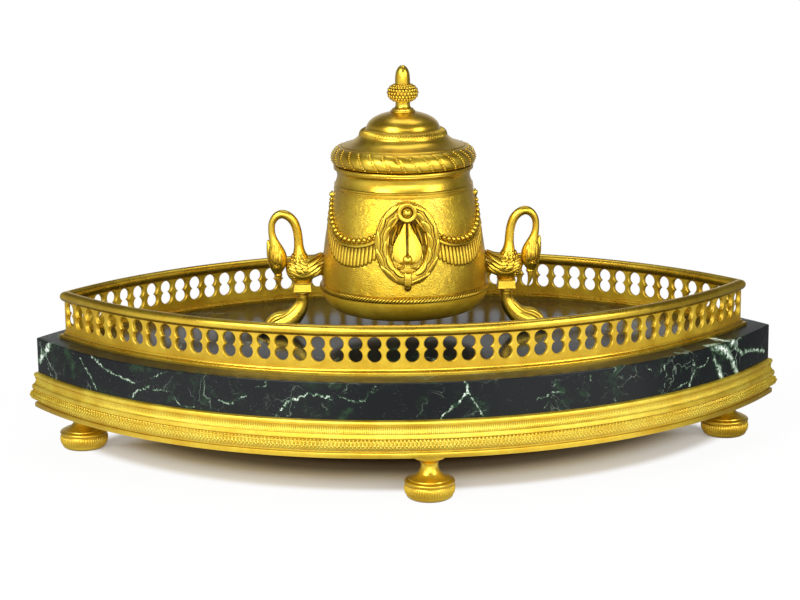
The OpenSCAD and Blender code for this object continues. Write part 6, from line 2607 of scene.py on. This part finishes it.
    def _boss(self, shop: Workshop) -> bpy.types.Object:
        """The round boss at the top of a wreath.

        Args:
            shop: The shared repeats and finishes.

        Returns:
            The boss in the handle's own frame.
        """
        r, f, low = self.boss_r, self.thick / 2 + 0.05, 0.2 - self.thick / 2
        profile = outline(
            [(0, low), (1.0, low), (1.0, f)],
            near(r, f, (-0.15, 0), (0, 0.2), (0, 0.9)),
            arc(r - 0.5, f + 0.95, 0.5, 0.45, 0, 90, 6),
            near(r, f, (-1.1, 1.4), (-1.35, 1.3), (-1.5, 1.1)),
            near(0, f, (2.85, 1.05), (2.7, 0.6), (2.35, 0.5)),
            arc(0, f + 0.85, 2.2, 2.2, 2, 90, 12),
        )

        def groove(p: Points) -> Points:
            """Painted shade: 1 in the groove round the button."""
            return (np.abs(np.hypot(p[:, 0], p[:, 1]) - 2.55) < 0.3) * (p[:, 2] > f)

        turned = lathe(profile, 64).with_painted_shade(groove)
        made = place(turned, (0, self.plane_y, self.boss_z), Matrix.Rotation(math.pi / 2, 3, "X"))
        return shop.cast(made, "boss", "gilt_bright", 34)


@dataclass
class Fittings:
    """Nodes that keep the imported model's own shape, rounded on their edges."""

    eased: tuple[tuple[str, str, float], ...] = (
        ("hinge_lid_leaf", LID_BODY, 0.25),
        ("hinge_pot_leaf", STAND, 0.25),
        ("handle_bracket_front", STAND, 0.2),
        ("handle_bracket_back", STAND, 0.2),
    )
    steel: tuple[str, ...] = (
        "foot_nuts", "base_screws", "gallery_studs", "gallery_nuts", "leg_rods", "leg_rod_nuts", "leg_dowels",
        "swan_screws", "handle_pins", "finial_nut", "hinge_pin",
    )

    def build(self, shop: Workshop) -> None:
        """Dresses the fittings.

        Args:
            shop: The shared repeats and finishes.
        """
        for node, body, width in self.eased:
            made = copy_of_node(node, 30)
            bevel = made.modifiers.new("edges", "BEVEL")
            bevel.width, bevel.segments, bevel.limit_method = width * MM, 2, "ANGLE"
            bevel.angle_limit = math.radians(40)
            bevel.use_clamp_overlap = True
            shop.fit(shop.dress(made, "gilt"), node, body=body)
        for node in self.steel:
            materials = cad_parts[node].data.materials
            materials.clear()
            materials.append(shop.finishes["steel"])
        LOG.info("steel fittings: %d nodes", len(self.steel))


# ---------------------------------------------------------------- finishes in use


def finishes() -> dict[str, bpy.types.Material]:
    """Makes every finish once.

    Returns:
        The materials by their short names.
    """
    made = {
        "gilt": Gilt("gilt", Grain.BURNISHED, roughness=0.36),
        "gilt_bright": Gilt("gilt_bright", Grain.BURNISHED, roughness=0.28, dirt_and_shade_amount=0.55, reach=1.2),
        "gilt_smooth": Gilt("gilt_smooth", Grain.BURNISHED, roughness=0.3, dirt_and_shade_amount=0.3, reach=1.0),
        "gilt_satin": Gilt("gilt_satin", Grain.BURNISHED, roughness=0.52, dirt_and_shade_amount=0.6, metal=0.9),
        "gilt_matt": Gilt(
            "gilt_matt", Grain.MATTED, roughness=0.5, grain_size=0.35, grain_depth=0.02, metal=0.86,
            dirt_and_shade_amount=0.5,
        ),
        "gilt_chased": Gilt(
            "gilt_chased", Grain.CHASED, roughness=0.36, grain_depth=0.09, grain_size=0.9, dirt_and_shade_amount=0.5,
            reach=1.2,
        ),
        "gilt_lid": Gilt("gilt_lid", Grain.TURNED, roughness=0.32, dirt_and_shade_amount=0.6, grain_depth=0.012),
        # Paler and yellower than the other gilt: painted light on the base moulding.
        "gilt_turned": Gilt(
            "gilt_turned", Grain.BURNISHED, tone=(0.98, 0.725, 0.055), roughness=0.48, dirt_and_shade_amount=0.45,
            reach=0.9, metal=0.88,
        ),
        "marble": Marble(veins=VEINS),
        "porcelain": Porcelain(),
        "steel": Steel(),
    }
    return {name: finish.material() for name, finish in made.items()}


VEINS: tuple[Vein, ...] = (
    Vein(((147.0, -26.5, 55.5), (150.7, -32.9, 55.5), (156.4, -31.1, 54.0)), 3.0, 1.0),
    Vein(((141.8, -42.3, 54.8), (145.0, -40.8, 48.5), (150.2, -37.6, 38.4)), 2.1, 1.0),
    Vein(((142.8, -41.5, 54.8), (148.0, -38.4, 53.6), (153.0, -34.4, 50.0)), 3.4, 1.0),
    Vein(((151.0, -36.8, 53.0), (156.0, -31.5, 45.7), (159.3, -27.9, 38.2)), 2.4, 1.0),
    Vein(((157.7, -29.7, 51.1), (162.1, -24.6, 47.3), (168.6, -16.6, 46.7), (176.9, -4.9, 43.1)), 1.3, 0.9),
    Vein(((-171.8, -11.5, 55.5), (-174.8, -7.9, 50.7), (-178.7, -2.1, 44.8)), 2.2, 1.0),
    Vein(((-178.2, -2.9, 54.0), (-177.3, -4.3, 48.8)), 0.9, 0.8),
    Vein(((-163.3, -23.2, 54.7), (-160.3, -26.7, 49.7), (-159.5, -27.7, 44.0)), 3.6, 0.3),
    Vein(((-129.7, -55.7, 54.0), (-121.4, -61.8, 54.5)), 3.0, 0.28),
    Vein(((-32.8, -97.4, 39.6), (-28.8, -98.0, 42.5)), 2.6, 0.3),
    Vein(((64.4, -90.0, 52.0), (67.7, -88.9, 46.9)), 2.2, 0.25),
    Vein(((-155.9, -31.7, 52.8), (-151.9, -35.9, 46.9), (-148.0, -39.8, 40.0)), 0.6, 0.9),
    Vein(
        ((-150.0, -37.9, 55.2), (-141.4, -45.9, 49.8), (-134.4, -51.9, 48.3), (-128.5, -56.6, 46.5)), 0.7, 0.9
    ),
    Vein(((-120.1, -62.7, 50.4), (-111.8, -68.2, 55.0)), 0.6, 0.8),
    Vein(((-129.3, -56.0, 39.2), (-127.7, -57.2, 42.8), (-121.2, -61.9, 46.4)), 0.7, 0.95),
    Vein(((-119.3, -63.2, 44.8), (-112.1, -67.9, 45.4)), 0.5, 0.7),
    Vein(((-109.8, -69.4, 43.4), (-106.1, -71.5, 39.1), (-99.9, -75.0, 39.4)), 0.55, 0.85),
    Vein(
        ((-88.1, -80.8, 44.1), (-85.9, -81.8, 42.9), (-82.2, -83.4, 43.3), (-75.6, -86.1, 47.2)), 0.55, 0.85
    ),
    Vein(((-66.3, -89.4, 54.9), (-66.8, -89.2, 52.5), (-70.9, -87.8, 51.7)), 0.5, 0.75),
    Vein(
        (
            (-62.6, -90.5, 37.8), (-59.8, -91.4, 42.2), (-56.6, -92.3, 46.1), (-51.6, -93.6, 47.8),
            (-47.9, -94.5, 49.8), (-43.4, -95.5, 49.5), (-36.7, -96.8, 47.9),
        ),
        0.7, 0.95,
    ),
    Vein(
        (
            (-34.5, -97.2, 49.8), (-29.1, -98.0, 47.1), (-22.0, -98.9, 46.8), (-20.1, -99.0, 50.5),
            (-17.4, -99.3, 54.2),
        ),
        0.5, 0.7,
    ),
    Vein(((-20.1, -99.0, 50.5), (-15.7, -99.4, 52.3)), 0.45, 0.7),
    Vein(
        (
            (11.6, -99.7, 37.9), (15.2, -99.5, 42.0), (19.8, -99.1, 45.5), (24.3, -98.6, 50.4),
            (23.0, -98.8, 55.1),
        ),
        0.75, 0.95,
    ),
    Vein(((24.3, -98.6, 50.4), (27.0, -98.3, 46.5), (32.0, -97.6, 37.8)), 0.65, 0.9),
    Vein(((56.0, -92.5, 44.4), (63.5, -90.3, 46.9), (69.1, -88.4, 46.7)), 0.5, 0.8),
    Vein(((64.4, -90.0, 52.9), (63.9, -90.1, 46.8), (61.6, -90.8, 43.3), (58.8, -91.7, 38.9)), 0.45, 0.7),
    Vein(((81.0, -83.9, 53.3), (81.1, -83.9, 50.5)), 0.5, 0.7),
    Vein(((108.7, -70.0, 53.5), (111.3, -68.4, 50.6)), 0.5, 0.7),
    Vein(((118.0, -64.1, 52.2), (119.2, -63.3, 47.2), (117.7, -64.3, 38.8)), 0.55, 0.85),
    Vein(((118.1, -64.0, 45.5), (123.4, -60.4, 44.9)), 0.5, 0.75),
    Vein(((133.5, -52.7, 51.5), (135.3, -51.2, 47.2), (133.2, -53.0, 42.8), (131.6, -54.2, 39.2)), 0.65, 0.9),
    Vein(((135.3, -51.2, 47.2), (139.7, -47.5, 47.1), (142.4, -45.0, 50.3)), 0.6, 0.9),
    Vein(((123.5, -60.3, 39.1), (132.6, -53.4, 41.9)), 0.55, 0.8),
)

ASSEMBLIES = (Base(), Gallery(), Pot(), Swan(), Handles(), Lid(), Fittings())


# ---------------------------------------------------------------- whole


def main() -> None:
    """Builds the studio and every sub-assembly in order."""
    logging.basicConfig(level=logging.INFO, format="%(message)s")
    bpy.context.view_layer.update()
    Studio().build()
    shop = Workshop(finishes())
    for assembly in ASSEMBLIES:
        assembly.build(shop)


if __name__ == "__main__":
    main()
